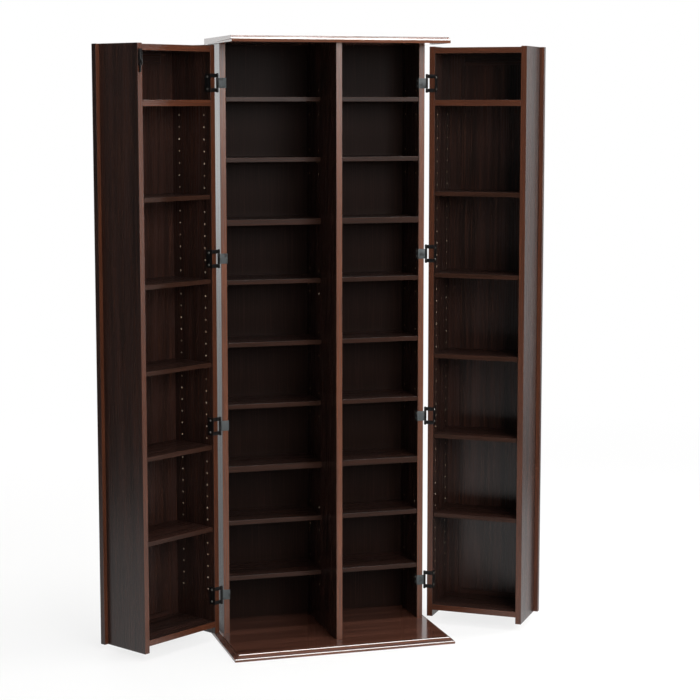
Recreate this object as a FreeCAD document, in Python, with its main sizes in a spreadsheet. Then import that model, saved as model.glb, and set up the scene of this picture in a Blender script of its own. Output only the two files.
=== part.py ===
import FreeCAD, Part
import os
import re
import math
import Sketcher

# Two-column media cabinet with two deep shelved doors. Lengths are in millimetres, angles in degrees.
# +X is to the right, -Y is towards the user, +Z is up.
# The origin lies on the floor, at the centre of the base panel.
# Each sub-part is a body of its own. The doors are built about their hinge pins and turned open there.

SIZES = (
    ("board", 16.0, "laminated board"),
    ("front_board", 16.0, "stiles and rails of the door fronts"),
    ("shelf_board", 12.0, "adjustable shelves"),
    ("panel_board", 8.0, "flat panel in each door front"),
    ("hardboard", 3.0, "back panels"),
    ("edge_round", 0.6, "rounding of the board edges"),
    ("overrun", 5.0, "how far a cutting tool runs past the face it cuts"),
    ("fit", 0.05, "radial clearance of pins, dowels and screws in their holes"),
    ("cabinet_height", 1624.0, "floor to top"),
    ("side_depth", 146.0, "side panel with the back panel behind it"),
    ("divider_clearance", 2.2, "divider to the closed fronts"),
    ("base_width", 610.0, "base, end to end"),
    ("base_overhang", 20.0, "base beyond each side panel"),
    ("base_reach", 218.0, "base forward of the side panels"),
    ("top_overhang", 9.0, "top beyond each side panel"),
    ("top_reach", 182.0, "top forward of the side panels"),
    ("nose_round", 1.5, "rounding of the moulding's lower lip"),
    ("nose_ledge", 3.5, "from the lip to the foot of the cove"),
    ("cove_radius", 6.5, "hollow of the moulding"),
    ("crown_ledge", 2.0, "step at the head of the cove"),
    ("crown_height", 2.0, "board left above the cove"),
    ("low_fixed_share", 0.2894, "top of the lower fixed shelf, of the inner height"),
    ("high_fixed_share", 0.7082, "top of the upper fixed shelf, of the inner height"),
    ("pair_first_share", 0.354, "first of two shelves, of its bay"),
    ("pair_second_share", 0.699, "second of two shelves, of its bay"),
    ("trio_first_share", 0.259, "first of three shelves, of its bay"),
    ("trio_second_share", 0.517, "second of three shelves, of its bay"),
    ("trio_third_share", 0.776, "third of three shelves, of its bay"),
    ("shelf_play", 0.5, "play at each end of an adjustable shelf"),
    ("shelf_setback", 2.0, "adjustable shelf behind the front of the sides"),
    ("shelf_back_gap", 2.0, "adjustable shelf to the back panel"),
    ("pin_radius", 2.5, "shelf pin"),
    ("pin_length", 15.0, "shelf pin, end to end"),
    ("pin_web", 2.0, "between two pins that meet inside the divider"),
    ("pin_pitch", 32.0, "from one pin hole to the next"),
    ("pin_group", 3, "holes in each group of the cabinet"),
    ("pin_row_inset", 25.5, "row of pin holes to the edge of the board"),
    ("dowel_radius", 4.0, "wooden dowel"),
    ("dowel_reach", 20.0, "dowel along the grain of a board"),
    ("dowel_sink", 10.0, "dowel through the face of a board"),
    ("dowel_inset", 32.0, "dowel or base screw to the board's front or back edge"),
    ("base_screw_radius", 2.2, "shank of the screws through the base"),
    ("base_screw_length", 48.0, "underside of the base to the screw's tip"),
    ("base_head_radius", 4.5, "head of the screws through the base"),
    ("base_head_height", 3.0, "depth of that head in the base"),
    ("back_inset", 2.0, "back panel inside the edge of the side panel"),
    ("back_seam", 1.0, "between the two back panels"),
    ("nail_radius", 0.8, "nail in the back panels"),
    ("nail_length", 18.0, "nail below its head"),
    ("nail_head_radius", 2.0, "nail head"),
    ("nail_head_height", 0.6, "nail head above the hardboard"),
    ("nail_inset", 4.5, "nail to the edge of its back panel"),
    ("nail_first_share", 0.03, "lowest nail, of the inner height"),
    ("nail_count", 6, "nails along each upright edge of a back panel"),
    ("hinge_offset", 6.2, "hinge pin outside the side panel"),
    ("pin_setback", 1.7, "hinge pin behind the middle of the gap between side and door"),
    ("left_door_angle", 148.0, "opening of the left door"),
    ("right_door_angle", 143.7, "opening of the right door"),
    ("door_clearance", 4.0, "above and below each door"),
    ("door_depth", 145.5, "sides of the door box"),
    ("front_gap", 3.0, "between the closed fronts"),
    ("front_overhang", 11.5, "front beyond the free side of the door box"),
    ("stile_width", 57.0, "uprights of the front frame"),
    ("rail_width", 57.0, "cross pieces of the front frame"),
    ("rabbet", 8.0, "panel edge inside the frame"),
    ("panel_play", 0.5, "panel edge to the bottom of its rabbet"),
    ("top_drop", 2.5, "door top below the ends of the door sides"),
    ("door_foot", 18.5, "door bottom above the ends of the door sides"),
    ("disc_row", 125.0, "clear height of the row at the door's head"),
    ("door_shelf_setback", 5.0, "adjustable door shelf behind the opening edge"),
    ("pin_first", 121.0, "lowest pin hole of a door above the door's end"),
    ("pin_head_room", 170.0, "least height of door above its highest pin hole"),
    ("door_first_share", 0.125, "lowest door shelf, along the row of pin holes"),
    ("door_second_share", 0.3, "second door shelf"),
    ("door_third_share", 0.475, "third door shelf"),
    ("door_fourth_share", 0.65, "fourth door shelf"),
    ("door_fifth_share", 0.825, "highest adjustable door shelf"),
    ("leaf", 1.4, "sheet of the hinge leaves"),
    ("leaf_gap", 0.4, "between the leaves of a closed hinge"),
    ("leaf_height", 27.0, "cabinet leaf"),
    ("wrap_height", 48.0, "door leaf"),
    ("wrap_depth", 20.0, "leaves on the inner faces of the sides"),
    ("knuckle_radius", 3.4, "hinge barrel"),
    ("knuckle_gap", 0.5, "between the knuckles"),
    ("hinge_pin_radius", 1.75, "hinge pin"),
    ("pin_head_radius", 2.9, "rivet heads of the hinge pin"),
    ("pin_head_height", 1.2, "rivet heads of the hinge pin"),
    ("hinge_low_inset", 105.0, "lowest hinge to the door's lower end"),
    ("hinge_high_inset", 99.0, "highest hinge to the door's upper end"),
    ("hinge_second_share", 0.36, "second hinge, of the door height"),
    ("hinge_third_share", 0.6446, "third hinge, of the door height"),
    ("screw_radius", 1.5, "shank of the hinge and bolt screws"),
    ("screw_depth", 11.0, "those screws inside the board"),
    ("screw_head_radius", 3.0, "head of those screws"),
    ("screw_head_height", 1.0, "head of those screws"),
    ("leaf_screw_spacing", 14.0, "screws of the cabinet leaf"),
    ("wrap_screw_spacing", 32.0, "screws of the door leaf"),
    ("wrap_screw_inset", 10.0, "screws of the leaves to the front or opening edge"),
    ("knob_height_share", 0.5, "knob, of the door height"),
    ("knob_radius", 13.0, "head of the knob"),
    ("knob_head", 11.0, "head of the knob, front to back"),
    ("knob_foot_radius", 8.0, "foot of the knob"),
    ("knob_foot_height", 2.0, "foot of the knob"),
    ("knob_neck_radius", 5.5, "neck of the knob"),
    ("knob_neck_end", 9.0, "neck and foot of the knob together"),
    ("knob_rounding", 3.5, "rounding of the knob's head"),
    ("stud_radius", 2.5, "stud of the knob"),
    ("stud_depth", 12.0, "stud of the knob inside the stile"),
    ("bolt_drop", 15.0, "bolt housing below the door's upper end"),
    ("bolt_plate", 1.5, "plate of the bolt housing"),
    ("bolt_plate_height", 42.0, "bolt housing along the edge"),
    ("bolt_case_width", 8.5, "channel of the bolt housing"),
    ("bolt_case_depth", 7.4, "channel of the bolt housing, with its plate"),
    ("bolt_wall", 1.5, "walls of the channel"),
    ("bolt_slot", 2.6, "slot in the channel"),
    ("bolt_slack", 0.2, "around the bolt in its channel"),
    ("bolt_tail", 17.0, "bolt below its housing"),
    ("bolt_recess", 2.0, "bolt below the upper end of its housing"),
    ("bolt_thumb_low", 6.0, "thumb piece above the lower end of the housing"),
    ("bolt_thumb_height", 8.0, "thumb piece along the bolt"),
    ("bolt_thumb_rise", 4.0, "thumb piece above the channel"),
    ("bolt_screw_end", 5.0, "screws of the bolt housing to its ends"),
    ("bolt_screw_radius", 1.1, "shank of those screws"),
    ("bolt_head_radius", 2.0, "head of those screws"),
    ("bolt_head_margin", 0.25, "plate around that head"),
    ("bolt_hole_radius", 4.0, "hole for the bolt in the top"),
    ("bolt_hole_depth", 8.0, "hole for the bolt in the top"),
)

document = FreeCAD.newDocument("media_cabinet")
sheet = document.addObject("Spreadsheet::Sheet", "Sizes")
ALIASES = set()
for row, (alias, value, meaning) in enumerate(SIZES, 1):
    sheet.set(f"A{row}", meaning)
    sheet.set(f"B{row}", str(value))
    sheet.setAlias(f"B{row}", alias)
    ALIASES.add(alias)
document.recompute()

FULL_TURN = 360
POINTS_UP = FreeCAD.Vector(0, 0, 1)
SIDES = ("left", "right")
BODIES = []


# Expressions

def bound(text):
    """Write the names of sizes as cells of the sheet."""
    return re.sub(r"[a-z_]+", lambda word: "Sizes." + word.group() if word.group() in ALIASES else word.group(), text)


def number(text):
    """The present value of an expression."""
    return float(sheet.evalExpression(bound(text)))


def from_middle(side, start, width="0"):
    """X of the lower end of a span that lies outward of the cabinet's middle."""
    return f"-({start}) - ({width})" if side == "left" else f"{start}"


def from_pin(side, start, width="0"):
    """X of the lower end of a span that lies inward of a door's hinge pin."""
    return f"{start}" if side == "left" else f"-({start}) - ({width})"


# Sketches and features

def sketch_on(body, role, level):
    """A sketch on one of the body's own planes, moved along the plane's normal."""
    made = body.newObject("Sketcher::SketchObject", "Outline")
    plane = next(item for item in body.Origin.OriginFeatures if item.Role == role)
    made.AttachmentSupport = [(plane, "")]
    made.MapMode = "FlatFace"
    made.setExpression("AttachmentOffset.Base.z", bound(level))
    return made


def pin_point(made, geometry, point, x, y):
    """Hold one point of a sketch at bound distances from the origin."""
    for kind, text in (("DistanceX", x), ("DistanceY", y)):
        held = made.addConstraint(Sketcher.Constraint(kind, -1, 1, geometry, point, number(text)))
        made.setExpression(f"Constraints[{held}]", bound(text))


def loop(made, points):
    """A closed outline. A third entry is the radius of the arc to the next point, negative for clockwise."""
    spots = [FreeCAD.Vector(number(point[0]), number(point[1]), 0) for point in points]
    pieces = []
    for step, point in enumerate(points):
        start = spots[step]
        end = spots[(step + 1) % len(points)]
        if len(point) == 2:
            pieces.append((made.addGeometry(Part.LineSegment(start, end)), 1, 2))
            continue
        radius = number(point[2])
        chord = end - start
        across = FreeCAD.Vector(-chord.y, chord.x, 0).normalize()
        rise = math.sqrt(max(radius ** 2 - chord.Length ** 2 / 4, 0))
        centre = start + chord / 2 + across * math.copysign(rise, radius)
        first, last = (start, end) if radius > 0 else (end, start)
        angles = [math.atan2(spot.y - centre.y, spot.x - centre.x) for spot in (first, last)]
        arc = Part.ArcOfCircle(Part.Circle(centre, POINTS_UP, abs(radius)), angles[0], angles[1])
        index = made.addGeometry(arc)
        pieces.append((index, 1, 2) if radius > 0 else (index, 2, 1))
        held = made.addConstraint(Sketcher.Constraint("Radius", index, abs(radius)))
        made.setExpression(f"Constraints[{held}]", bound(f"abs({point[2]})"))
    for step, point in enumerate(points):
        index, begin, finish = pieces[step]
        following, first, unused = pieces[(step + 1) % len(points)]
        made.addConstraint(Sketcher.Constraint("Coincident", index, finish, following, first))
        pin_point(made, index, begin, point[0], point[1])


def rectangle(made, x, y, wide, high):
    loop(made, ((x, y), (f"{x} + {wide}", y), (f"{x} + {wide}", f"{y} + {high}"), (x, f"{y} + {high}")))


def circles(made, centres, radius):
    for x, y in centres:
        spot = FreeCAD.Vector(number(x), number(y), 0)
        index = made.addGeometry(Part.Circle(spot, POINTS_UP, number(radius)))
        held = made.addConstraint(Sketcher.Constraint("Radius", index, number(radius)))
        made.setExpression(f"Constraints[{held}]", bound(radius))
        pin_point(made, index, 3, x, y)


def swell(body, made, length, backwards=False):
    feature = body.newObject("PartDesign::Pad", "Pad")
    feature.Profile = made
    feature.setExpression("Length", bound(length))
    feature.Reversed = backwards
    return feature


def cut(body, made, depth, backwards=False):
    feature = body.newObject("PartDesign::Pocket", "Pocket")
    feature.Profile = made
    feature.setExpression("Length", bound(depth))
    feature.Reversed = backwards
    return feature


def turn(body, made, axis):
    feature = body.newObject("PartDesign::Revolution", "Turned")
    feature.Profile = made
    feature.ReferenceAxis = (made, [axis])
    feature.Angle = FULL_TURN
    return feature


def row(body, feature, count, pitch):
    """Repeat a cut upwards."""
    pattern = body.newObject("PartDesign::LinearPattern", "Row")
    upright = next(item for item in body.Origin.OriginFeatures if item.Role == "Z_Axis")
    pattern.Originals = [feature]
    pattern.Direction = (upright, [""])
    pattern.setExpression("Length", bound(f"({count} - 1) * {pitch}"))
    pattern.setExpression("Occurrences", bound(count))
    body.Tip = pattern
    return pattern


def soften(body, feature, radius="edge_round"):
    """Round every edge of a feature."""
    document.recompute()
    rounded = body.newObject("PartDesign::Fillet", "Rounded")
    rounded.Base = (feature, [f"Edge{index}" for index in range(1, len(feature.Shape.Edges) + 1)])
    rounded.setExpression("Radius", bound(radius))


def drill(body, role, level, centres, radius, depth, backwards=False):
    made = sketch_on(body, role, level)
    circles(made, centres, radius)
    return cut(body, made, depth, backwards)


def posts(body, role, level, centres, radius, length, backwards=False):
    made = sketch_on(body, role, level)
    circles(made, centres, radius)
    return swell(body, made, length, backwards)


def start(label, side=None):
    """A new body, at the hinge pin of its door where a side is given."""
    body = document.addObject("PartDesign::Body", label)
    BODIES.append(body)
    if side:
        axis = FreeCAD.Vector(0, 0, -1 if side == "left" else 1)
        body.Placement = FreeCAD.Placement(FreeCAD.Vector(), FreeCAD.Rotation(axis, 1))
        body.setExpression("Placement.Base.x", bound(from_middle(side, PIN_X)))
        body.setExpression("Placement.Base.y", bound(PIN_Y))
        body.setExpression("Placement.Rotation.Angle", bound(f"{side}_door_angle"))
    return body


def boards(label, back, depth, outlines, side=None, rounded=True):
    """Boards drawn from the front as x, z, width and height, from their back plane forward."""
    body = start(label, side)
    made = sketch_on(body, "XZ_Plane", f"-({back})")
    for x, z, wide, high in outlines:
        rectangle(made, x, z, wide, high)
    slab = swell(body, made, depth)
    if rounded:
        soften(body, slab)
    return body


# Places shared by several pieces

FRONT = "((base_reach - side_depth) / 2)"
BACK = "((base_reach + side_depth) / 2)"
UPRIGHT_BACK = f"({BACK} - hardboard)"
HALF = "(base_width / 2 - base_overhang)"
INNER = "(cabinet_height - 2 * board)"
CEILING = "(cabinet_height - board)"
COLUMN = f"({HALF} - 3 * board / 2)"
TOP_WIDE = f"(2 * {HALF} + 2 * top_overhang)"
PIN_DEPTH = "((board - pin_web) / 2)"
LIP = "(board - cove_radius - crown_height)"
INSET = "(nose_ledge + cove_radius + crown_ledge)"
LOW_FIXED = f"(board + low_fixed_share * {INNER})"
HIGH_FIXED = f"(board + high_fixed_share * {INNER})"

DOOR_GAP = "(2 * leaf + leaf_gap)"
PIN_X = f"({HALF} + hinge_offset)"
PIN_Y = f"({FRONT} - {DOOR_GAP} / 2 + pin_setback)"
SEAT = f"({DOOR_GAP} / 2 - pin_setback)"
EDGE = f"(-{DOOR_GAP} / 2 - pin_setback)"
REAR = f"({EDGE} - door_depth)"
DIVIDER_REACH = f"({DOOR_GAP} + door_depth - divider_clearance)"
FACE = f"({REAR} - front_board)"
LOW = "(board + door_clearance)"
HIGH = f"({CEILING} - door_clearance)"
TALL = f"({HIGH} - {LOW})"
FRONT_WIDE = f"({HALF} - front_gap / 2)"
FREE = f"(hinge_offset + {FRONT_WIDE} - front_overhang)"
HINGE_INNER = "(hinge_offset + board)"
FREE_INNER = f"({FREE} - board)"
DOOR_COLUMN = f"({FREE_INNER} - {HINGE_INNER})"
UNDER_TOP = f"({HIGH} - top_drop - board)"
FIRST_HOLE = f"({LOW} + pin_first)"
PIN_COUNT = f"(floor(({TALL} - pin_first - pin_head_room) / pin_pitch) + 1)"

BAYS = (
    ("lower", "board", f"({LOW_FIXED} - board)", ("pair_first_share", "pair_second_share")),
    ("middle", LOW_FIXED, f"({HIGH_FIXED} - board)", ("trio_first_share", "trio_second_share", "trio_third_share")),
    ("upper", HIGH_FIXED, CEILING, ("pair_first_share", "pair_second_share")),
)
BAY_SHELVES = {
    name: [f"({floor} + {share} * ({head} - {floor}) - shelf_board)" for share in shares]
    for name, floor, head, shares in BAYS
}
SHELF_UNDERSIDES = [level for levels in BAY_SHELVES.values() for level in levels]
CABINET_PINS = [f"({level} - pin_radius - fit)" for level in SHELF_UNDERSIDES]
PIN_ROWS = (f"({FRONT} + pin_row_inset)", f"({UPRIGHT_BACK} - pin_row_inset)")

DOOR_SHARES = ("door_first_share", "door_second_share", "door_third_share", "door_fourth_share", "door_fifth_share")
DOOR_PINS = [f"({FIRST_HOLE} + pin_pitch * round({share} * ({PIN_COUNT} - 1)))" for share in DOOR_SHARES]
DOOR_ROWS = (f"({EDGE} - pin_row_inset)", f"({REAR} + pin_row_inset)")

HINGES = [
    f"({LOW} + hinge_low_inset)", f"({LOW} + hinge_second_share * {TALL})",
    f"({LOW} + hinge_third_share * {TALL})", f"({HIGH} - hinge_high_inset)",
]
LEAF_SCREWS = [f"({z} {sign} leaf_screw_spacing / 2)" for z in HINGES for sign in "+-"]
WRAP_SCREWS = [f"({z} {sign} wrap_screw_spacing / 2)" for z in HINGES for sign in "+-"]

DOWEL_ROWS = (f"({FRONT} + dowel_inset)", f"({UPRIGHT_BACK} - dowel_inset)")
DIVIDER_ROWS = (f"({FRONT} - {DIVIDER_REACH} + dowel_inset)",) + DOWEL_ROWS
SIDE_MIDDLE = f"({HALF} - board / 2)"
UPRIGHT_SPOTS = {
    "left": [(f"-{SIDE_MIDDLE}", y) for y in DOWEL_ROWS],
    "right": [(SIDE_MIDDLE, y) for y in DOWEL_ROWS],
    "divider": [("0", y) for y in DIVIDER_ROWS],
}
ALL_SPOTS = [spot for spots in UPRIGHT_SPOTS.values() for spot in spots]
SHELF_MIDDLES = [f"({LOW_FIXED} - board / 2)", f"({HIGH_FIXED} - board / 2)"]
SHELF_SPOTS = [(y, z) for y in DOWEL_ROWS for z in SHELF_MIDDLES]
DOWEL_HOLE = "dowel_radius + fit"
SCREW_HOLE = "screw_radius + fit"

NAIL_STEP = "((1 - 2 * nail_first_share) / (nail_count - 1))"
NAIL_LEVELS = [
    f"(board + (nail_first_share + {index} * {NAIL_STEP}) * {INNER})" for index in range(int(number("nail_count")))
]
NAIL_OUTER = f"({HALF} - back_inset - nail_inset)"
NAIL_INNER = "(back_seam / 2 + nail_inset)"

KNOB_LONG = "(knob_neck_end + knob_head)"

BOLT_MIDDLE = f"({FREE} - board / 2)"
BOLT_TOP = f"({HIGH} - bolt_drop)"
BOLT_LOW = f"({BOLT_TOP} - bolt_plate_height)"
BOLT_FLANGE = "(2 * bolt_head_radius + 2 * bolt_head_margin)"
BOLT_PLATE_WIDE = f"(bolt_case_width + {BOLT_FLANGE})"
BOLT_EDGE = f"({BOLT_MIDDLE} + {BOLT_PLATE_WIDE} / 2)"
BOLT_U = f"({BOLT_EDGE} - bolt_case_width / 2)"
BOLT_WIDE = "(bolt_case_width - 2 * bolt_wall - 2 * bolt_slack)"
BOLT_THICK = "(bolt_case_depth - bolt_plate - bolt_wall - 2 * bolt_slack)"
BOLT_W = f"({EDGE} + bolt_plate + bolt_slack)"
BOLT_SCREW_U = f"({BOLT_MIDDLE} - {BOLT_PLATE_WIDE} / 2 + {BOLT_FLANGE} / 2)"
BOLT_SCREWS = (f"({BOLT_LOW} + bolt_screw_end)", f"({BOLT_TOP} - bolt_screw_end)")


# Base and top

def moulding(edge, floor, inward):
    """The moulded edge from its lip up to the upper face. Inward is the sign of the way into the board."""
    round_sign = "-" if inward == "+" else ""
    cove_sign = "" if inward == "+" else "-"

    def place(run):
        return f"{edge} {inward} ({run})"

    return [
        (f"{edge}", f"{floor} + {LIP} - nose_round", f"{round_sign}nose_round"),
        (place("nose_round"), f"{floor} + {LIP}"),
        (place("nose_ledge"), f"{floor} + {LIP}", f"{cove_sign}cove_radius"),
        (place("nose_ledge + cove_radius"), f"{floor} + {LIP} + cove_radius"),
        (place(INSET), f"{floor} + {LIP} + cove_radius"),
        (place(INSET), f"{floor} + board - edge_round", f"{round_sign}edge_round"),
        (place(f"{INSET} + edge_round"), f"{floor} + board"),
    ]


def moulded_board(label, width, reach, floor):
    """A board with its moulded edge to the front."""
    body = start(label)
    edge = f"({FRONT} - {reach})"
    made = sketch_on(body, "YZ_Plane", f"-{width} / 2")
    outline = [(edge, floor)] + moulding(edge, floor, "+") + [(BACK, f"{floor} + board"), (BACK, floor)]
    loop(made, outline)
    swell(body, made, width)
    return body


base = moulded_board("base_panel", "base_width", "base_reach", "0")
for inward, side in (("+", "left"), ("-", "right")):
    rim = from_middle(side, "base_width / 2")
    beyond = from_middle(side, "base_width / 2 + overrun")
    inside = f"{rim} {inward} ({INSET} + edge_round)"
    waste = sketch_on(base, "XZ_Plane", f"-({FRONT} - base_reach - overrun)")
    above = [(inside, "board + overrun"), (beyond, "board + overrun"), (beyond, f"{LIP} - nose_round")]
    loop(waste, moulding(rim, "0", inward) + above)
    cut(base, waste, "base_reach + side_depth + 2 * overrun")
drill(base, "XY_Plane", "-overrun", ALL_SPOTS, "base_screw_radius + fit", "board + 2 * overrun", True)
drill(base, "XY_Plane", "-overrun", ALL_SPOTS, "base_head_radius + fit", "base_head_height + overrun", True)

top = moulded_board("top_panel", TOP_WIDE, "top_reach", CEILING)
drill(top, "XY_Plane", CEILING, ALL_SPOTS, DOWEL_HOLE, "dowel_sink + fit", True)
bolt_spot = (f"-{PIN_X} + {BOLT_U}", f"{PIN_Y} + {BOLT_W} + {BOLT_THICK} / 2")
drill(top, "XY_Plane", CEILING, [bolt_spot], "bolt_hole_radius", "bolt_hole_depth", True)


# Uprights

def end_holes(body, spots):
    """Holes for the base screws and the top dowels in the ends of an upright."""
    depth = "base_screw_length - board + fit + overrun"
    drill(body, "XY_Plane", "board - overrun", spots, "base_screw_radius + fit", depth, True)
    drill(body, "XY_Plane", f"{CEILING} + overrun", spots, DOWEL_HOLE, "dowel_reach + fit + overrun")


def nail_holes(body, columns):
    spots = [(x, z) for x in columns for z in NAIL_LEVELS]
    depth = "nail_length + fit + overrun"
    drill(body, "XZ_Plane", f"-({BACK} + overrun)", spots, "nail_radius + fit", depth, True)


for side in SIDES:
    outline = (from_middle(side, f"({HALF} - board)", "board"), "board", "board", INNER)
    body = boards(f"{side}_side", UPRIGHT_BACK, f"{UPRIGHT_BACK} - {FRONT}", [outline])
    mirrored = side == "right"
    inner = from_middle(side, f"({HALF} - board)")
    holes = [(y, f"{z} - pin_pitch") for y in PIN_ROWS for z in CABINET_PINS]
    first = drill(body, "YZ_Plane", inner, holes, "pin_radius + fit", f"{PIN_DEPTH} + fit", mirrored)
    row(body, first, "pin_group", "pin_pitch")
    drill(body, "YZ_Plane", inner, SHELF_SPOTS, DOWEL_HOLE, "dowel_sink + fit", mirrored)
    end_holes(body, UPRIGHT_SPOTS[side])
    leaf_holes = [(f"({FRONT} + wrap_screw_inset)", z) for z in LEAF_SCREWS]
    drill(body, "YZ_Plane", inner, leaf_holes, SCREW_HOLE, "screw_depth + fit", mirrored)
    nail_holes(body, [from_middle(side, NAIL_OUTER)])

divider_depth = f"{UPRIGHT_BACK} - {FRONT} + {DIVIDER_REACH}"
divider = boards("centre_divider", UPRIGHT_BACK, divider_depth, [("-board / 2", "board", "board", INNER)])
through = ("board / 2 + overrun", "board + 2 * overrun")
holes = [(y, f"{z} - pin_pitch") for y in PIN_ROWS for z in CABINET_PINS]
first = drill(divider, "YZ_Plane", through[0], holes, "pin_radius + fit", through[1])
row(divider, first, "pin_group", "pin_pitch")
drill(divider, "YZ_Plane", through[0], SHELF_SPOTS, DOWEL_HOLE, through[1])
end_holes(divider, UPRIGHT_SPOTS["divider"])
nail_holes(divider, [NAIL_INNER, f"-{NAIL_INNER}"])

# Backs

for side in SIDES:
    wide = f"({HALF} - back_inset - back_seam / 2)"
    outline = (from_middle(side, "back_seam / 2", wide), "board", wide, INNER)
    body = boards(f"{side}_back", BACK, "hardboard", [outline], rounded=False)
    nail_holes(body, [from_middle(side, NAIL_OUTER), from_middle(side, NAIL_INNER)])

nails = start("back_nails")
spots = [(x, z) for x in (NAIL_OUTER, NAIL_INNER, f"-{NAIL_OUTER}", f"-{NAIL_INNER}") for z in NAIL_LEVELS]
posts(nails, "XZ_Plane", f"-{BACK}", spots, "nail_radius", "nail_length")
posts(nails, "XZ_Plane", f"-{BACK}", spots, "nail_head_radius", "nail_head_height", True)

# Shelves of the cabinet

for side in SIDES:
    for name, level in (("low", LOW_FIXED), ("high", HIGH_FIXED)):
        outline = (from_middle(side, "board / 2", COLUMN), f"({level} - board)", COLUMN, "board")
        body = boards(f"{side}_{name}_fixed_shelf", UPRIGHT_BACK, f"{UPRIGHT_BACK} - {FRONT}", [outline])
        spots = [(y, f"({level} - board / 2)") for y in DOWEL_ROWS]
        depth = "dowel_reach + fit + overrun"
        outer_end = from_middle(side, f"({HALF} - board + overrun)")
        inner_end = from_middle(side, "(board / 2 - overrun)")
        drill(body, "YZ_Plane", outer_end, spots, DOWEL_HOLE, depth, side == "left")
        drill(body, "YZ_Plane", inner_end, spots, DOWEL_HOLE, depth, side == "right")
    for name, floor, head, shares in BAYS:
        wide = f"({COLUMN} - 2 * shelf_play)"
        x = from_middle(side, "(board / 2 + shelf_play)", wide)
        outlines = [(x, level, wide, "shelf_board") for level in BAY_SHELVES[name]]
        back = f"({UPRIGHT_BACK} - shelf_back_gap)"
        boards(f"{side}_{name}_shelves", back, f"{back} - {FRONT} - shelf_setback", outlines)
    body = start(f"{side}_shelf_pins")
    spots = [(y, z) for y in PIN_ROWS for z in CABINET_PINS]
    outer_end = from_middle(side, f"({HALF} - board + {PIN_DEPTH})")
    inner_end = from_middle(side, f"(board / 2 - {PIN_DEPTH})")
    posts(body, "YZ_Plane", outer_end, spots, "pin_radius", "pin_length", side == "right")
    posts(body, "YZ_Plane", inner_end, spots, "pin_radius", "pin_length", side == "left")

dowels = start("shelf_dowels")
side_face = f"({HALF} - board)"
posts(dowels, "YZ_Plane", f"-{side_face} - dowel_sink", SHELF_SPOTS, "dowel_radius", "dowel_sink + dowel_reach")
posts(dowels, "YZ_Plane", "-board / 2 - dowel_reach", SHELF_SPOTS, "dowel_radius", "board + 2 * dowel_reach")
posts(dowels, "YZ_Plane", f"{side_face} - dowel_reach", SHELF_SPOTS, "dowel_radius", "dowel_sink + dowel_reach")

dowels = start("top_dowels")
posts(dowels, "XY_Plane", f"{CEILING} - dowel_reach", ALL_SPOTS, "dowel_radius", "dowel_reach + dowel_sink")

screws = start("base_screws")
posts(screws, "XY_Plane", "fit", ALL_SPOTS, "base_head_radius", "base_head_height - fit")
posts(screws, "XY_Plane", "base_head_height", ALL_SPOTS, "base_screw_radius", "base_screw_length - base_head_height")


# Hinges

def knuckles(body, height):
    """Barrels about the hinge pin, one at each hinge."""
    made = sketch_on(body, "XZ_Plane", "0")
    for z in HINGES:
        rectangle(made, "0", f"{z} - {height} / 2", "knuckle_radius", height)
    return turn(body, made, "V_Axis")


def pin_bore(body):
    made = sketch_on(body, "XY_Plane", f"{CEILING}")
    circles(made, [("0", "0")], "hinge_pin_radius + fit")
    cut(body, made, CEILING)


def at_pin(label, side):
    """A body about the hinge pin of one side that stays with the cabinet."""
    body = start(label)
    body.setExpression("Placement.Base.x", bound(from_middle(side, PIN_X)))
    body.setExpression("Placement.Base.y", bound(PIN_Y))
    return body


for side in SIDES:
    mirrored = side == "right"
    body = at_pin(f"{side}_cabinet_leaves", side)
    made = sketch_on(body, "XZ_Plane", f"(-{SEAT})")
    wide = f"({HINGE_INNER} + leaf)"
    for z in HINGES:
        rectangle(made, from_pin(side, "0", wide), f"{z} - leaf_height / 2", wide, "leaf_height")
    swell(body, made, "leaf")
    made = sketch_on(body, "YZ_Plane", from_pin(side, HINGE_INNER))
    for z in HINGES:
        rectangle(made, f"({SEAT} - leaf)", f"{z} - leaf_height / 2", "wrap_depth + leaf", "leaf_height")
    swell(body, made, "leaf", mirrored)
    knuckles(body, "leaf_height")
    pin_bore(body)
    spots = [(f"({SEAT} + wrap_screw_inset)", z) for z in LEAF_SCREWS]
    outside = from_pin(side, f"({HINGE_INNER} + leaf + overrun)")
    drill(body, "YZ_Plane", outside, spots, SCREW_HOLE, "leaf + 2 * overrun", mirrored)

    body = at_pin(f"{side}_cabinet_leaf_screws", side)
    tips = from_pin(side, f"({HINGE_INNER} - screw_depth)")
    posts(body, "YZ_Plane", tips, spots, "screw_radius", "screw_depth + leaf", mirrored)
    heads = from_pin(side, f"({HINGE_INNER} + leaf)")
    posts(body, "YZ_Plane", heads, spots, "screw_head_radius", "screw_head_height", mirrored)

    body = at_pin(f"{side}_hinge_pins", side)
    made = sketch_on(body, "XZ_Plane", "0")
    for z in HINGES:
        head = f"({z} + wrap_height / 2)"
        foot = f"({z} - wrap_height / 2)"
        loop(made, (
            ("0", f"{foot} - pin_head_height"), ("pin_head_radius", f"{foot} - pin_head_height"),
            ("pin_head_radius", foot), ("hinge_pin_radius", foot), ("hinge_pin_radius", head),
            ("pin_head_radius", head), ("pin_head_radius", f"{head} + pin_head_height"),
            ("0", f"{head} + pin_head_height"),
        ))
    turn(body, made, "V_Axis")


# Doors

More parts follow.
